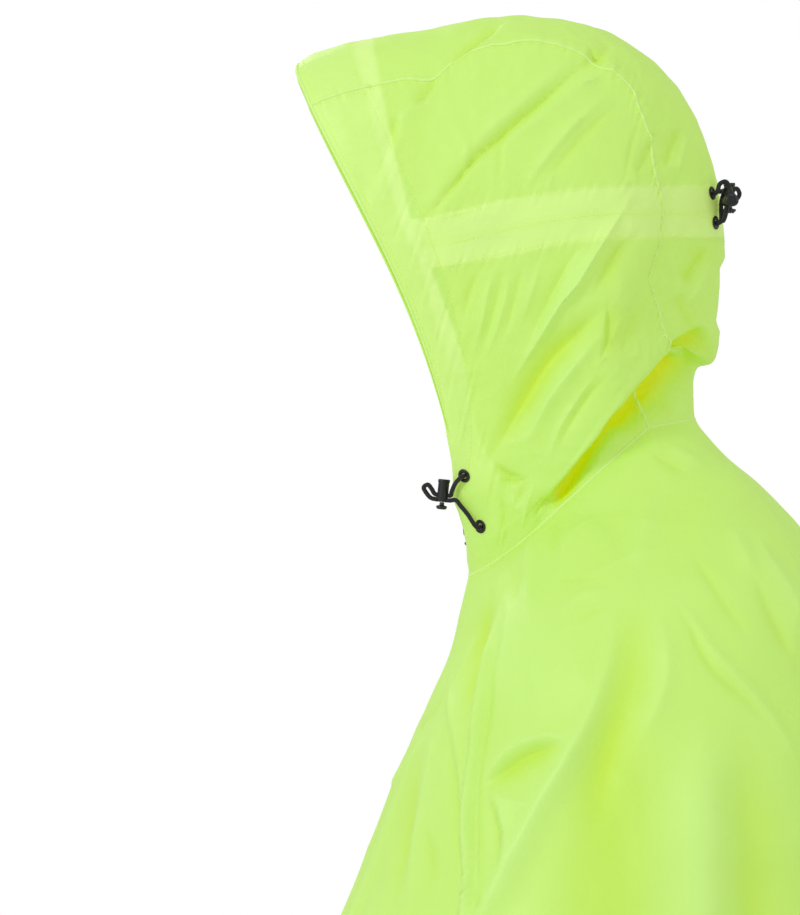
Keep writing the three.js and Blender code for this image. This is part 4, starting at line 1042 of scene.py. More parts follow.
# Materials.
@lru_cache(maxsize=None)
def coated_nylon():
    """Nylon taffeta, woven, dyed a fluorescent yellow and coated on the inside with polyurethane:
    smooth, faintly shiny, and thin enough for light to come through."""
    material = bpy.data.materials.new("Coated nylon taffeta")
    material.use_nodes = True
    material.node_tree.nodes.clear()
    uv = add_node(material, "ShaderNodeTexCoord").outputs["UV"]
    spot = add_node(material, "ShaderNodeTexCoord").outputs["Object"]
    # threads are 0.12 mm apart, too fine to show, so the weave is drawn at 0.9 mm
    weave = [add_node(material, "ShaderNodeTexWave", {"Vector": uv, "Scale": 350.0,
             "Distortion": 0.4, "Detail": 1.0}, bands_direction=direction).outputs["Fac"]
             for direction in ("X", "Y")]
    threads = add_node(material, "ShaderNodeMath", {0: weave[0], 1: weave[1]},
                       operation="MULTIPLY")
    crinkle = add_node(material, "ShaderNodeTexNoise", {"Vector": spot, "Scale": 42.0,
                       "Detail": 5.0, "Roughness": 0.55, "Distortion": 0.8})
    crumple = add_node(material, "ShaderNodeTexNoise", {"Vector": spot, "Scale": 11.0,
                       "Detail": 3.0, "Roughness": 0.5, "Distortion": 0.6},
                       noise_type="RIDGED_MULTIFRACTAL")
    tone = add_node(material, "ShaderNodeTexNoise", {"Vector": spot, "Scale": 9.0,
                    "Detail": 4.0, "Roughness": 0.55})
    # painted shade and highlight: a trough is painted darker and golden, most in a deep fold, and a
    # ridge is painted paler
    fold = add_node(material, "ShaderNodeAttribute", attribute_name="fold").outputs["Fac"]
    height = add_node(material, "ShaderNodeMapRange", {"Value": fold, "From Min": -2.0,
                      "From Max": 1.0, "To Min": -0.06, "To Max": 0.94})
    cloudy = add_node(material, "ShaderNodeMapRange", {"Value": tone.outputs["Fac"],
                      "To Min": 0.0, "To Max": 0.12})
    shade = add_node(material, "ShaderNodeMath", {0: height.outputs["Result"],
                     1: cloudy.outputs["Result"]}, operation="ADD")
    painted_fold_shading = add_node(material, "ShaderNodeValToRGB", {"Fac": shade.outputs["Value"]})
    middle = list(bpy.context.scene.poncho.cloth_colour)
    # position on the ramp and share of the cloth's red, green and blue
    tones = [(0, (0.98, 0.66, 0.0)), (0.36, (0.95, 0.92, 0.42)), (0.667, (1, 1, 1)),
             (1, (1.06, 1.05, 1.3))]
    ramp = painted_fold_shading.color_ramp.elements
    for position, share in tones[1:-1]:
        ramp.new(position)
    for element, (position, share) in zip(ramp, tones):
        element.position = position
        element.color = [min(1, c * k) for c, k in zip(middle, share)] + [1]
    doubled = add_node(material, "ShaderNodeAttribute", attribute_name="doubled").outputs["Fac"]
    pale = add_node(material, "ShaderNodeAttribute", attribute_name="pale").outputs["Fac"]
    backed = add_node(material, "ShaderNodeMixRGB", {"Fac": doubled, "Color1":
                      painted_fold_shading.outputs["Color"], "Color2": linear("C8EE90")})
    # mixes in the pale colour: the hood's doubled and stitched strips, and the painted highlight of
    # the sewn ridges
    stitched_and_painted_highlight = add_node(material, "ShaderNodeMixRGB", {"Fac": pale, "Color1":
                        backed.outputs["Color"], "Color2": linear("D4F4A4")})
    fine = add_node(material, "ShaderNodeBump", {"Strength": 0.12, "Distance": 0.0002,
                    "Height": threads.outputs["Value"]})
    creased = add_node(material, "ShaderNodeBump", {"Strength": 0.3, "Distance": 0.003,
                       "Height": crumple.outputs["Fac"], "Normal": fine.outputs["Normal"]})
    bump = add_node(material, "ShaderNodeBump", {"Strength": 0.45, "Distance": 0.0012,
                    "Height": crinkle.outputs["Fac"], "Normal": creased.outputs["Normal"]})
    # painted glow: the cloth gives out a constant yellow light in place of its fluorescence, which
    # lifts its shade all over, and more of it in a deep fold, where it paints golden shade
    painted_glow = add_node(material, "ShaderNodeMapRange", {"Value": fold, "From Min": -2.0,
                    "From Max": -0.7, "To Min": 0.3, "To Max": 0.14})
    surface = add_node(material, "ShaderNodeBsdfPrincipled", {
        "Base Color": stitched_and_painted_highlight.outputs["Color"], "Roughness": 0.48, "IOR": 1.5,
        "Specular IOR Level": 0.4, "Emission Color": linear("F3E600"),
        "Emission Strength": painted_glow.outputs["Result"], "Normal": bump.outputs["Normal"]})
    through = add_node(material, "ShaderNodeBsdfTranslucent", {
        "Color": linear("C8F02A"), "Normal": bump.outputs["Normal"]})
    thin = add_node(material, "ShaderNodeMapRange", {"Value": doubled, "To Min": 0.3,
                    "To Max": 0.16})
    cloth = add_node(material, "ShaderNodeMixShader", {
        "Fac": thin.outputs["Result"], 1: surface.outputs["BSDF"], 2: through.outputs["BSDF"]})
    add_node(material, "ShaderNodeOutputMaterial", {"Surface": cloth.outputs["Shader"]})
    return material


@lru_cache(maxsize=None)
def spun_thread():
    """Polyester core-spun sewing thread in the cloth's colour: two plies, with a soft lustre."""
    material = bpy.data.materials.new("Polyester thread")
    material.use_nodes = True
    material.node_tree.nodes.clear()
    uv = add_node(material, "ShaderNodeTexCoord").outputs["UV"]
    # the plies turn once in 0.8 mm
    ply = add_node(material, "ShaderNodeTexWave", {"Vector": uv, "Scale": 400.0},
                   bands_direction="DIAGONAL")
    colour = add_node(material, "ShaderNodeValToRGB", {"Fac": ply.outputs["Fac"]})
    colour.color_ramp.elements[0].color = linear("C8EA60")
    colour.color_ramp.elements[1].color = linear("DDF78E")
    bump = add_node(material, "ShaderNodeBump", {"Strength": 0.3, "Distance": 0.0001,
                    "Height": ply.outputs["Fac"]})
    # the thread has a painted glow: a constant yellow emission in place of its fluorescence
    surface = add_node(material, "ShaderNodeBsdfPrincipled", {
        "Base Color": colour.outputs["Color"], "Roughness": 0.55, "IOR": 1.5,
        "Emission Color": linear("F3ED00"), "Emission Strength": 0.12,
        "Normal": bump.outputs["Normal"]})
    add_node(material, "ShaderNodeOutputMaterial", {"Surface": surface.outputs["BSDF"]})
    return material


@lru_cache(maxsize=None)
def moulded_plastic():
    """Black acetal, injection moulded: satin, with a fine spark-eroded grain."""
    material = bpy.data.materials.new("Moulded acetal")
    material.use_nodes = True
    material.node_tree.nodes.clear()
    spot = add_node(material, "ShaderNodeTexCoord").outputs["Object"]
    grain = add_node(material, "ShaderNodeTexNoise", {"Vector": spot, "Scale": 2500.0,
                     "Detail": 2.0})
    rough = add_node(material, "ShaderNodeMapRange", {"Value": grain.outputs["Fac"],
                     "To Min": 0.3, "To Max": 0.46})
    bump = add_node(material, "ShaderNodeBump", {"Strength": 0.15, "Distance": 0.0001,
                    "Height": grain.outputs["Fac"]})
    surface = add_node(material, "ShaderNodeBsdfPrincipled", {
        "Base Color": [*bpy.context.scene.poncho.trim_colour, 1], "IOR": 1.48,
        "Roughness": rough.outputs["Result"], "Normal": bump.outputs["Normal"]})
    add_node(material, "ShaderNodeOutputMaterial", {"Surface": surface.outputs["BSDF"]})
    return material


@lru_cache(maxsize=None)
def braided_elastic():
    """Black elastic cord with a braided polyester sheath: dull, with a slight fuzz."""
    material = bpy.data.materials.new("Braided polyester cord")
    material.use_nodes = True
    material.node_tree.nodes.clear()
    spot = add_node(material, "ShaderNodeTexCoord").outputs["Object"]
    fuzz = add_node(material, "ShaderNodeTexNoise", {"Vector": spot, "Scale": 1800.0,
                    "Detail": 3.0})
    colour = add_node(material, "ShaderNodeValToRGB", {"Fac": fuzz.outputs["Fac"]})
    colour.color_ramp.elements[0].color = linear("060607")
    colour.color_ramp.elements[1].color = linear("1B1C1E")
    bump = add_node(material, "ShaderNodeBump", {"Strength": 0.3, "Distance": 0.0001,
                    "Height": fuzz.outputs["Fac"]})
    surface = add_node(material, "ShaderNodeBsdfPrincipled", {
        "Base Color": colour.outputs["Color"], "Roughness": 0.8, "IOR": 1.5,
        "Sheen Weight": 0.25, "Sheen Roughness": 0.4, "Normal": bump.outputs["Normal"]})
    add_node(material, "ShaderNodeOutputMaterial", {"Surface": surface.outputs["BSDF"]})
    return material


@lru_cache(maxsize=None)
def studio_paper():
    """Matt white paper roll, as a studio's floor has."""
    material = bpy.data.materials.new("Studio paper")
    material.use_nodes = True
    material.node_tree.nodes.clear()
    spot = add_node(material, "ShaderNodeTexCoord").outputs["Object"]
    fibre = add_node(material, "ShaderNodeTexNoise", {"Vector": spot, "Scale": 40.0})
    colour = add_node(material, "ShaderNodeValToRGB", {"Fac": fibre.outputs["Fac"]})
    colour.color_ramp.elements[0].color = linear("EFEFEE")
    colour.color_ramp.elements[1].color = linear("F5F5F4")
    surface = add_node(material, "ShaderNodeBsdfPrincipled", {
        "Base Color": colour.outputs["Color"], "Roughness": 0.9})
    add_node(material, "ShaderNodeOutputMaterial", {"Surface": surface.outputs["BSDF"]})
    return material


# Operators.
class PONCHO_OT_stage(bpy.types.Operator):
    """Puts up the camera, the soft studio lights, the white surroundings and the floor"""

    bl_idname = "poncho.stage"
    bl_label = "Stage"

    def execute(self, context):
        scene = context.scene
        lens = bpy.data.cameras.new("Camera")
        lens.sensor_width = 36
        lens.lens = CAMERA_LENS
        lens.clip_end = 50
        camera = bpy.data.objects.new("Camera", lens)
        camera.location = CAMERA_PLACE
        camera.rotation_euler = (math.pi / 2, 0, math.pi / 2)
        scene.collection.objects.link(camera)
        scene.camera = camera
        scene.view_settings.view_transform = "Standard"

        world = bpy.data.worlds.new("Studio")
        world.use_nodes = True
        scene.world = world
        background = world.node_tree.nodes["Background"]
        background.inputs["Color"].default_value = (1, 1, 1, 1)
        # the white surroundings are lit more brightly than the light that they give back
        looked_at = add_node(world, "ShaderNodeLightPath").outputs["Is Camera Ray"]
        stage = scene.poncho_stage
        strength = add_node(world, "ShaderNodeMapRange", {"Value": looked_at,
                            "To Min": stage.fill, "To Max": stage.backdrop})
        world.node_tree.links.new(strength.outputs["Result"], background.inputs["Strength"])
        for name, spot, aim, size, power in LAMPS:
            light = bpy.data.lights.new(name, "AREA")
            light.size = size
            light.energy = power * stage.light
            lamp = bpy.data.objects.new(name, light)
            lamp.location = spot
            lamp.rotation_euler = (Vector(aim) - Vector(spot)).to_track_quat("-Z", "Y").to_euler()
            scene.collection.objects.link(lamp)

        mesh = bpy.data.meshes.new("floor")
        half = 3.0
        z = scene.poncho_stage.floor_z
        mesh.from_pydata([(-half, -half, z), (half, -half, z), (half, half, z), (-half, half, z)],
                         [], [(0, 1, 2, 3)])
        mesh.materials.append(studio_paper())
        floor = bpy.data.objects.new("floor", mesh)
        scene.collection.objects.link(floor)
        return {"FINISHED"}


def lock_frame(lock):
    z = unit(np.array(lock.axis, float))
    y = np.array(lock.through, float)
    y = unit(y - z * (y @ z))
    return np.stack([np.cross(y, z), y, z], axis=1), np.array(lock.centre, float)


def cord_route(lock):
    """The middle line of a drawcord, eyelet to eyelet, through its lock and back, in mm."""
    turn, centre = lock_frame(lock)
    mirror = np.array([lock.side, 1, 1])
    start = EYELET_THICK + 2 * GAP

    def local(y, z):
        return centre + turn @ np.array([0, y, lock.slot + z])

    def off(level, out):
        seat = SEATS_LEFT[f"{lock.seats}_{level}"]
        return (np.array(seat.point) + np.array(seat.out) * out) * mirror

    def strand(sign):
        return [local(along, half * sign + lock.lift * rise) for along, half, rise in LOOP]

    first, half = LOOP[0][:2]
    return np.array([
        off("upper", -CORD_INSIDE), off("upper", start + LEAD),
        *lock.out,
        local(-first, half), local(0, half),
        *strand(1), local(LOOP_END, lock.lift), *reversed(strand(-1)),
        local(0, -half), local(-first, -half),
        *lock.back,
        off("lower", start + LEAD), off("lower", -CORD_INSIDE),
    ])


def centripetal(points, step):
    """Points every step mm along the centripetal Catmull-Rom curve through points."""
    points = np.asarray(points, float)
    ends = [2 * points[0] - points[1], *points, 2 * points[-1] - points[-2]]
    fine = [points[0]]
    for p0, p1, p2, p3 in zip(ends, ends[1:], ends[2:], ends[3:]):
        t0 = 0
        t1 = t0 + np.linalg.norm(p1 - p0) ** 0.5
        t2 = t1 + np.linalg.norm(p2 - p1) ** 0.5
        t3 = t2 + np.linalg.norm(p3 - p2) ** 0.5
        for t in np.linspace(t1, t2, 13)[1:]:
            a1 = mix(p0, p1, (t - t0) / (t1 - t0))
            a2 = mix(p1, p2, (t - t1) / (t2 - t1))
            a3 = mix(p2, p3, (t - t2) / (t3 - t2))
            b1 = mix(a1, a2, (t - t0) / (t2 - t0))
            b2 = mix(a2, a3, (t - t1) / (t3 - t1))
            fine.append(mix(b1, b2, (t - t1) / (t2 - t1)))
    fine = np.array(fine)
    passed = np.concatenate([[0], np.cumsum(np.linalg.norm(np.diff(fine, axis=0), axis=1))])
    count = max(2, round(passed[-1] / step))
    places = np.linspace(0, passed[-1], count + 1)
    return np.stack([np.interp(places, passed, fine[:, i]) for i in range(3)], axis=1), passed[-1]


def carried_frames(path):
    """Two cross directions along a path, turned as little as possible."""
    tangents = unit(np.gradient(path, axis=0))
    side = unit(np.cross(tangents[0], [0.3, 0.5, 0.8]))
    sides = []
    for tangent in tangents:
        side = unit(side - tangent * (side @ tangent))
        sides.append(side)
    sides = np.array(sides)
    return sides, np.cross(tangents, sides)


class PONCHO_OT_drawcords(bpy.types.Operator):
    """Lays the four braided drawcords from eyelet to eyelet through their locks"""

    bl_idname = "poncho.drawcords"
    bl_label = "Drawcords"

    def execute(self, context):
        sides, strands = 24, 8
        for name, lock in LOCKS.items():
            path, length = centripetal(cord_route(lock), 0.55)
            across, up = carried_frames(path)
            along = np.linspace(0, length, len(path))[:, None]
            angle = np.linspace(0, 2 * np.pi, sides, endpoint=False)[None, :]
            # two sets of strands wind round the cord in opposite ways, crossing every 2.6 mm
            wind = 2 * np.pi * along / (2.6 * strands / 2)
            plait = np.maximum(np.cos(strands / 2 * (angle + wind)),
                               np.cos(strands / 2 * (angle - wind)))
            radius = CORD_RADIUS * (0.97 + 0.05 * plait)
            ring = (np.cos(angle)[..., None] * across[:, None]
                    + np.sin(angle)[..., None] * up[:, None])
            points = path[:, None] + radius[..., None] * ring
            mesh = grid_mesh(f"cord_{name}", points, closed=True)
            piece = place(f"cord_{name}", mesh, braided_elastic(),
                          [f"drawcord_{name}"])
            piece["length"] = length * MM
        return {"FINISHED"}


def bmesh_of(points):
    """A closed skin over a grid of points [row, column] that starts and ends on the axis."""
    bm = bmesh.new()
    rows = [[bm.verts.new(point) for point in row] for row in points.tolist()]
    for low, high in zip(rows, rows[1:]):
        for i in range(len(low)):
            bm.faces.new((low[i - 1], low[i], high[i], high[i - 1]))
    bmesh.ops.remove_doubles(bm, verts=bm.verts, dist=1e-4)
    bmesh.ops.recalc_face_normals(bm, faces=bm.faces)
    return bm


def finished(bm, name, turn=None, centre=None):
    """The mesh in metres of a bmesh in mm, turned and moved to its place."""
    mesh = bpy.data.meshes.new(name)
    bm.to_mesh(mesh)
    bm.free()
    if turn is not None:
        mesh.transform(Matrix.Translation(Vector(centre)) @ Matrix(turn.tolist()).to_4x4())
    mesh.transform(Matrix.Scale(MM, 4))
    mesh.shade_smooth()
    mesh.set_sharp_from_angle(angle=math.radians(42))
    return mesh


def cut(mesh, cutter):
    """A mesh with the space of another cut away."""
    whole = bpy.data.objects.new("whole", mesh)
    tool = bpy.data.objects.new("tool", cutter)
    for obj in (whole, tool):
        bpy.context.scene.collection.objects.link(obj)
    modifier = whole.modifiers.new("slot", "BOOLEAN")
    modifier.operation = "DIFFERENCE"
    modifier.object = tool
    bpy.context.view_layer.update()
    result = bpy.data.meshes.new_from_object(
        whole.evaluated_get(bpy.context.evaluated_depsgraph_get()))
    bpy.data.objects.remove(whole)
    bpy.data.objects.remove(tool)
    result.shade_smooth()
    result.set_sharp_from_angle(angle=math.radians(42))
    return result


def lathe(profile, segments):
    """Points turned about z from (radius, z) pairs in mm, low to high."""
    angle = np.linspace(0, 2 * np.pi, segments, endpoint=False)
    profile = np.array(profile, float)
    ring = np.stack([np.cos(angle), np.sin(angle)], axis=1)
    points = np.concatenate([
        profile[:, None, :1] * ring[None],
        np.repeat(profile[:, None, 1:], segments, axis=1),
    ], axis=-1)
    return points


def rounded(profile, radius, steps=3):
    """A profile with its corners rounded."""
    profile = np.array(profile, float)
    out = [profile[0]]
    for before, corner, after in zip(profile, profile[1:], profile[2:]):
        back, ahead = before - corner, after - corner
        reach = min(radius, np.linalg.norm(back) / 2, np.linalg.norm(ahead) / 2)
        start, end = corner + unit(back) * reach, corner + unit(ahead) * reach
        for k in np.linspace(0, 1, steps + 1):
            out.append((1 - k) ** 2 * start + 2 * k * (1 - k) * corner + k**2 * end)
    out.append(profile[-1])
    return np.array(out)


def placed_points(points, turn, centre):
    return points @ np.asarray(turn).T + centre


class PONCHO_OT_locks(bpy.types.Operator):
    """Makes the four cord locks, each a slotted barrel with a spring button"""

    bl_idname = "poncho.locks"
    bl_label = "Cord locks"

    def execute(self, context):
        for name, lock in LOCKS.items():
            turn, centre = lock_frame(lock)
            body = self.barrel(name, lock, turn, centre)
            button = self.button(name, lock, turn, centre)
            self.declare_cord(name, lock, body, button)
        return {"FINISHED"}

    def button(self, name, lock, turn, centre):
        start = LOCK_BOTTOM - GAP
        profile = rounded([
            (0, start - 5.4), (LOCK_RADIUS * 0.74, start - 5.3), (LOCK_RADIUS, start - 4.0),
            (LOCK_RADIUS * 0.96, start - 2.7), (1.8, start - 2.2), (1.7, start), (0, start),
        ], 0.5)
        wide, high = lock.press
        stretch = np.array([wide, high, 1])
        bm = bmesh_of(lathe(profile, 40) * stretch)
        if wide > 1:
            # grip ribs, four slanted bars across the oval end
            for x in (-2.7, -0.9, 0.9, 2.7):
                half = 0.72 * LOCK_RADIUS * high * math.sqrt(1 - (x / (LOCK_RADIUS * wide)) ** 2)
                slant = Matrix.Rotation(math.radians(-24), 4, "Z")
                bar = slant @ Matrix.Translation(Vector((x, 0, start - 5.35)))
                bar = bar @ Matrix.Diagonal((1.0, 2 * half, 1.1, 1))
                cube = bmesh.ops.create_cube(bm, size=1, matrix=bar)
                edges = {edge for vert in cube["verts"] for edge in vert.link_edges}
                bmesh.ops.bevel(bm, geom=list(edges), offset=0.28, segments=3, profile=0.5,
                                affect="EDGES")
        mesh = finished(bm, f"button_{name}", turn, centre)
        return place(f"button_{name}", mesh, moulded_plastic(),
                     [f"cord_lock_button_{name}"])

    def barrel(self, name, lock, turn, centre):
        profile = rounded([
            (0, LOCK_BOTTOM), (LOCK_TAIL, LOCK_BOTTOM), (LOCK_TAIL, LOCK_BOTTOM + 1.6),
            (LOCK_RADIUS, LOCK_BOTTOM + 3), (LOCK_RADIUS, LOCK_TOP - 2.6),
            (LOCK_RADIUS + 0.35, LOCK_TOP - 2.2), (LOCK_RADIUS + 0.35, LOCK_TOP - 0.2),
            (LOCK_RADIUS - 0.2, LOCK_TOP), (LOCK_RADIUS - 1.1, LOCK_TOP),
            (LOCK_RADIUS - 1.3, LOCK_TOP - 0.5), (0, LOCK_TOP - 0.5),
        ], 0.4)
        mesh = finished(bmesh_of(lathe(profile, 48)), f"lock_{name}")
        cutter = bmesh.new()
        bmesh.ops.create_cube(cutter, size=1, matrix=Matrix.Translation((0, 0, lock.slot))
                              @ Matrix.Diagonal((SLOT_WIDE, 12, SLOT_HIGH, 1)))
        along = [edge for edge in cutter.edges
                 if abs((edge.verts[0].co - edge.verts[1].co).y) > 1]
        bmesh.ops.bevel(cutter, geom=along, offset=1.7, segments=5, profile=0.5, affect="EDGES")
        mesh = cut(mesh, finished(cutter, "slot"))
        mesh.transform(Matrix.Translation(Vector(centre) * MM) @ Matrix(turn.tolist()).to_4x4())
        return place(f"lock_{name}", mesh, moulded_plastic(),
                     [f"cord_lock_body_{name}"])

    def declare_cord(self, name, lock, body, button):
        path, length = centripetal(cord_route(lock), 0.55)


class PONCHO_OT_eyelets(bpy.types.Operator):
    """Sets the eight eyelets that the drawcords leave the casings by"""

    bl_idname = "poncho.eyelets"
    bl_label = "Eyelets"

    def execute(self, context):
        profile = rounded([
            (EYELET_BORE, -EYELET_DEPTH), (EYELET_BARREL, -EYELET_DEPTH), (EYELET_BARREL, GAP),
            (EYELET_FLANGE, GAP), (EYELET_FLANGE - 0.5, GAP + EYELET_THICK * 0.8),
            (EYELET_FLANGE - 1.6, GAP + EYELET_THICK),
            (EYELET_BORE + 0.4, GAP + EYELET_THICK * 0.8),
            (EYELET_BORE, GAP + EYELET_THICK * 0.3), (EYELET_BORE, -EYELET_DEPTH),
        ], 0.35)
        for key, seat in SEATS_LEFT.items():
            place_name, level = key.split("_")
            for side, label in ((1, "left"), (-1, "right")):
                mirror = np.array([side, 1, 1])
                z = unit(np.array(seat.out) * mirror)
                x = unit(np.cross([0, 0, 1], z))
                turn = np.stack([x, np.cross(z, x), z], axis=1)
                points = placed_points(lathe(profile, 40), turn, np.array(seat.point) * mirror)
                name = f"{place_name}_{label}_{level}"
                place(f"ring_{name}", grid_mesh(f"ring_{name}", points, closed=True),
                      moulded_plastic(), [f"eyelet_{name}"])
        return {"FINISHED"}


class PONCHO_OT_hood(bpy.types.Operator):
    """Sews the hood: two sides and a centre panel over the crown"""

    bl_idname = "poncho.hood"
    bl_label = "Hood"

    def execute(self, context):
        sheet = hood_sheet()
        doubled, pale, _ = hood_bands(sheet.points)
        left = np.searchsorted(sheet.columns, SEAM_T - 1e-9)
        right = np.searchsorted(sheet.columns, -SEAM_T - 1e-9)
        spans = {
            "cloth_hood_side_right": (0, right + 1, "hood_side_right"),
            "cloth_hood_centre": (right, left + 1, "hood_centre"),
            "cloth_hood_side_left": (left, len(sheet.columns), "hood_side_left"),
        }
        for name, (first, last, node) in spans.items():
            bands = {"doubled": doubled[:, first:last], "pale": pale[:, first:last],
                     "fold": sheet.fold[:, first:last]}
            mesh = grid_mesh(name, sheet.points[:, first:last], bands=bands)
            piece = place(name, mesh, coated_nylon(), [node])
        return {"FINISHED"}


class PONCHO_OT_casings(bpy.types.Operator):
    """Lays the two drawcord casings inside the hood, round the face opening and round the head"""

    bl_idname = "poncho.casings"
    bl_label = "Casings"

    def execute(self, context):
        shares = np.linspace(0, 1, 15)
        face = [face_casing_line(mix(0.02, 1, share)) for share in shares]
        head = [head_casing_line(mix(0.5, -0.5, share)) for share in shares]
        self.strip("face_casing", face, shares, (0.042, 0.76))
        self.strip("head_casing", head, shares, (0.04, 0.6))
        return {"FINISHED"}

    def strip(self, name, lines, shares, flat):
        """A strip sewn to the hood by its two long edges, its middle off it round the cord."""
        stand = PANEL_WALL + 1.6 * np.sin(np.pi * shares) ** 0.4
        count = len(lines[0][0])
        wave = 0.35 * np.sin(np.arange(count) * 0.8) * np.sin(np.arange(count) * 0.31)
        points = np.stack([hood_sheet().at(u, t, out=-(lift + wave * np.sin(np.pi * share)))
                           for (u, t), lift, share in zip(lines, stand, shares)])
        plain = np.zeros(points.shape[:-1])
        bands = {"doubled": plain + 1, "pale": plain + 0.2, "fold": plain}
        mesh = grid_mesh(f"cloth_{name}", points, bands=bands)
        piece = place(f"cloth_{name}", mesh, coated_nylon(), [name])


class PONCHO_OT_cape(bpy.types.Operator):
    """Drapes the cape from the neck seam to the hem and turns up its hem"""

    bl_idname = "poncho.cape"
    bl_label = "Cape"

    def execute(self, context):
        sheet = cape_sheet()
        plain = np.zeros(sheet.points.shape[:-1])
        to_hem = lengths_down(sheet.points[::-1])[::-1]
        bands = {"doubled": smooth(HEM_WIDTH + 1, HEM_WIDTH - 1, to_hem), "pale": plain,
                 "fold": sheet.fold}
        mesh = grid_mesh("cloth_cape", sheet.points, closed=True, bands=bands)
        piece = place("cloth_cape", mesh, coated_nylon(), ["cape"])
        hem = self.hem(sheet, to_hem)
        return {"FINISHED"}

    def hem(self, sheet, to_hem):
        """The turned-up band inside the hem and the fold under it."""
        angle = np.linspace(0, np.pi, 6)
        rows = np.interp(np.array([HEM_WIDTH, 14, 8, 3]), to_hem[::-1, 0], sheet.rows[::-1])
        turn = sheet.columns[None, :]
        band = [sheet.at(row, turn, out=-PANEL_WALL)[0] for row in rows]
        edge, down = sheet.points[-1], unit(sheet.points[-1] - sheet.points[-3])
        out = sheet.normals[-1]
        fold = [edge + down * math.sin(a) * ROLL_HEIGHT - out * ROLL_HEIGHT / 2 * (1 + math.cos(a))
                for a in angle]
        points = np.stack(band + fold)
        plain = np.zeros(points.shape[:-1])
        mesh = grid_mesh("hem", points, closed=True,
                         bands={"doubled": plain + 1, "pale": plain + 0.3, "fold": plain})
        return place("hem", mesh, coated_nylon())


class PONCHO_OT_seams(bpy.types.Operator):
    """Runs the felled seams along the hood's centre panel and round the neck, and rolls the edge
    of the face opening"""

    bl_idname = "poncho.seams"
    bl_label = "Seams"

    def execute(self, context):
        hood, cape = hood_sheet(), cape_sheet()
        u = np.linspace(0.002, 0.998, 460)
        for side, label in ((1, "left"), (-1, "right")):
            path = hood.at(u, side * SEAM_T)
            out = unit(hood.at(u, side * SEAM_T, out=1) - path)
            self.sewn(f"seam_hood_{label}", ridge(path, out, SEAM_WIDTH, SEAM_HEIGHT))
        neck = cape.points[0]
        across = unit(np.roll(neck, -1, axis=0) - np.roll(neck, 1, axis=0))
        out = unit(np.cross(across, [0, 0, -1]) * 0.8 + cape.normals[0])
        self.sewn("seam_neck", ridge(neck, out, SEAM_WIDTH, SEAM_HEIGHT, closed=True))
        t = np.linspace(-1, 1, 520)
        path = hood.at(0, t)
        out = unit(hood.at(0, t, out=1) - path)
        self.sewn("edge_face_opening", ridge(path, out, ROLL_WIDTH, ROLL_HEIGHT))
        return {"FINISHED"}

    def sewn(self, name, points):
        plain = np.zeros(points.shape[:-1])
        # the ridge's pale colour is partly its doubled cloth and partly painted highlight that
        # lifts its shaded side
        bands = {"doubled": plain + 0.5, "pale": plain + 0.6, "fold": plain}
        mesh = grid_mesh(name, points, closed=True, bands=bands)
        place(name, mesh, coated_nylon())


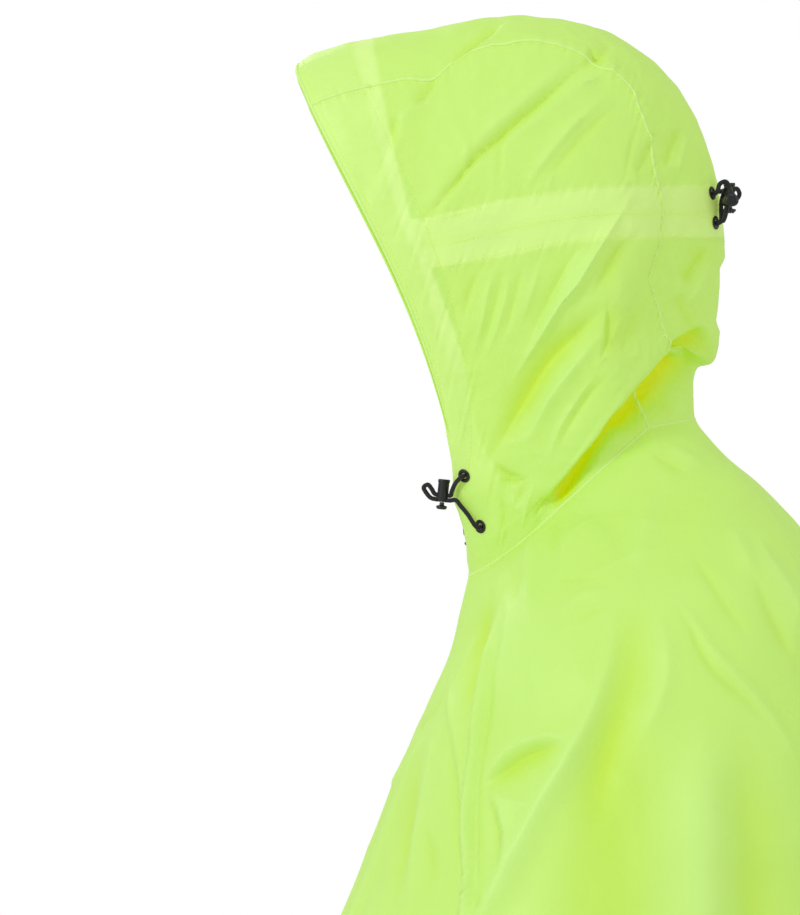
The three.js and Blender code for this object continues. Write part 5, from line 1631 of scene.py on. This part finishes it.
class PONCHO_OT_stitches(bpy.types.Operator):
    """Sews the lockstitches beside the seams, along the casings and round the hem"""

    bl_idname = "poncho.stitches"
    bl_label = "Stitches"

    def execute(self, context):
        hood, cape = hood_sheet(), cape_sheet()
        u = np.linspace(0.01, 0.985, 460)
        beside = 2.6
        for side, label in ((1, "left"), (-1, "right")):
            path = hood.at(u, side * SEAM_T)
            gauge = np.linalg.norm(hood.at(u, side * (SEAM_T + 0.01)) - path, axis=-1) / 0.01
            self.sew(f"stitches_hood_{label}", hood, u, side * (SEAM_T + beside / gauge))
        for name, share in (("rear", 0.985), ("front", 0.12)):
            self.sew(f"stitches_face_casing_{name}", hood, *face_casing_line(share, 400))
        for name, share in (("upper", 0.46), ("lower", -0.46), ("channel", -0.04)):
            self.sew(f"stitches_head_casing_{name}", hood, *head_casing_line(share, 400))
        turn = np.concatenate([cape.columns, cape.columns[:1] - 1])
        gauge = np.linalg.norm(cape.points[2] - cape.points[0], axis=-1) / cape.rows[2]
        self.sew("stitches_neck", cape, beside / np.append(gauge, gauge[0]), turn)
        gauge = np.linalg.norm(cape.points[-1] - cape.points[-3], axis=-1)
        gauge = gauge / (cape.rows[-1] - cape.rows[-3])
        self.sew("stitches_hem", cape, 1 - (HEM_WIDTH - 2) / np.append(gauge, gauge[0]), turn)
        return {"FINISHED"}

    def sew(self, name, sheet, rows, columns):
        path = sheet.at(rows, columns)
        out = unit(sheet.at(rows, columns, out=1) - path)
        rings = stitch_rings(path, out, bpy.context.scene.poncho.stitch_length / MM)
        mesh = grid_mesh(name, rings, closed=True, run=4)
        place(name, mesh, spun_thread())


class PONCHO_PT_panel(bpy.types.Panel):
    """Sizes of the poncho and the operators that make its pieces"""

    bl_label = "Rain Poncho"
    bl_idname = "PONCHO_PT_panel"
    bl_space_type = "VIEW_3D"
    bl_region_type = "UI"
    bl_category = "Rain Poncho"

    def draw(self, context):
        layout = self.layout
        for group in (context.scene.poncho, context.scene.poncho_stage):
            box = layout.box()
            for name in group.__annotations__:
                box.prop(group, name)
        for operator in OPERATORS:
            layout.operator(operator.bl_idname)


OPERATORS = (
    PONCHO_OT_stage,
    PONCHO_OT_drawcords,
    PONCHO_OT_locks,
    PONCHO_OT_eyelets,
    PONCHO_OT_hood,
    PONCHO_OT_casings,
    PONCHO_OT_cape,
    PONCHO_OT_seams,
    PONCHO_OT_stitches,
)
CLASSES = (PonchoSettings, StageSettings, *OPERATORS, PONCHO_PT_panel)


def register():
    for cls in CLASSES:
        bpy.utils.register_class(cls)
    bpy.types.Scene.poncho = PointerProperty(type=PonchoSettings)
    bpy.types.Scene.poncho_stage = PointerProperty(type=StageSettings)


def unregister():
    del bpy.types.Scene.poncho_stage
    del bpy.types.Scene.poncho
    for cls in reversed(CLASSES):
        bpy.utils.unregister_class(cls)


def main():
    register()
    bpy.ops.poncho.stage()
    bpy.ops.poncho.drawcords()
    bpy.ops.poncho.locks()
    bpy.ops.poncho.eyelets()
    bpy.ops.poncho.hood()
    bpy.ops.poncho.casings()
    bpy.ops.poncho.cape()
    bpy.ops.poncho.seams()
    bpy.ops.poncho.stitches()


if __name__ == "__main__":
    main()
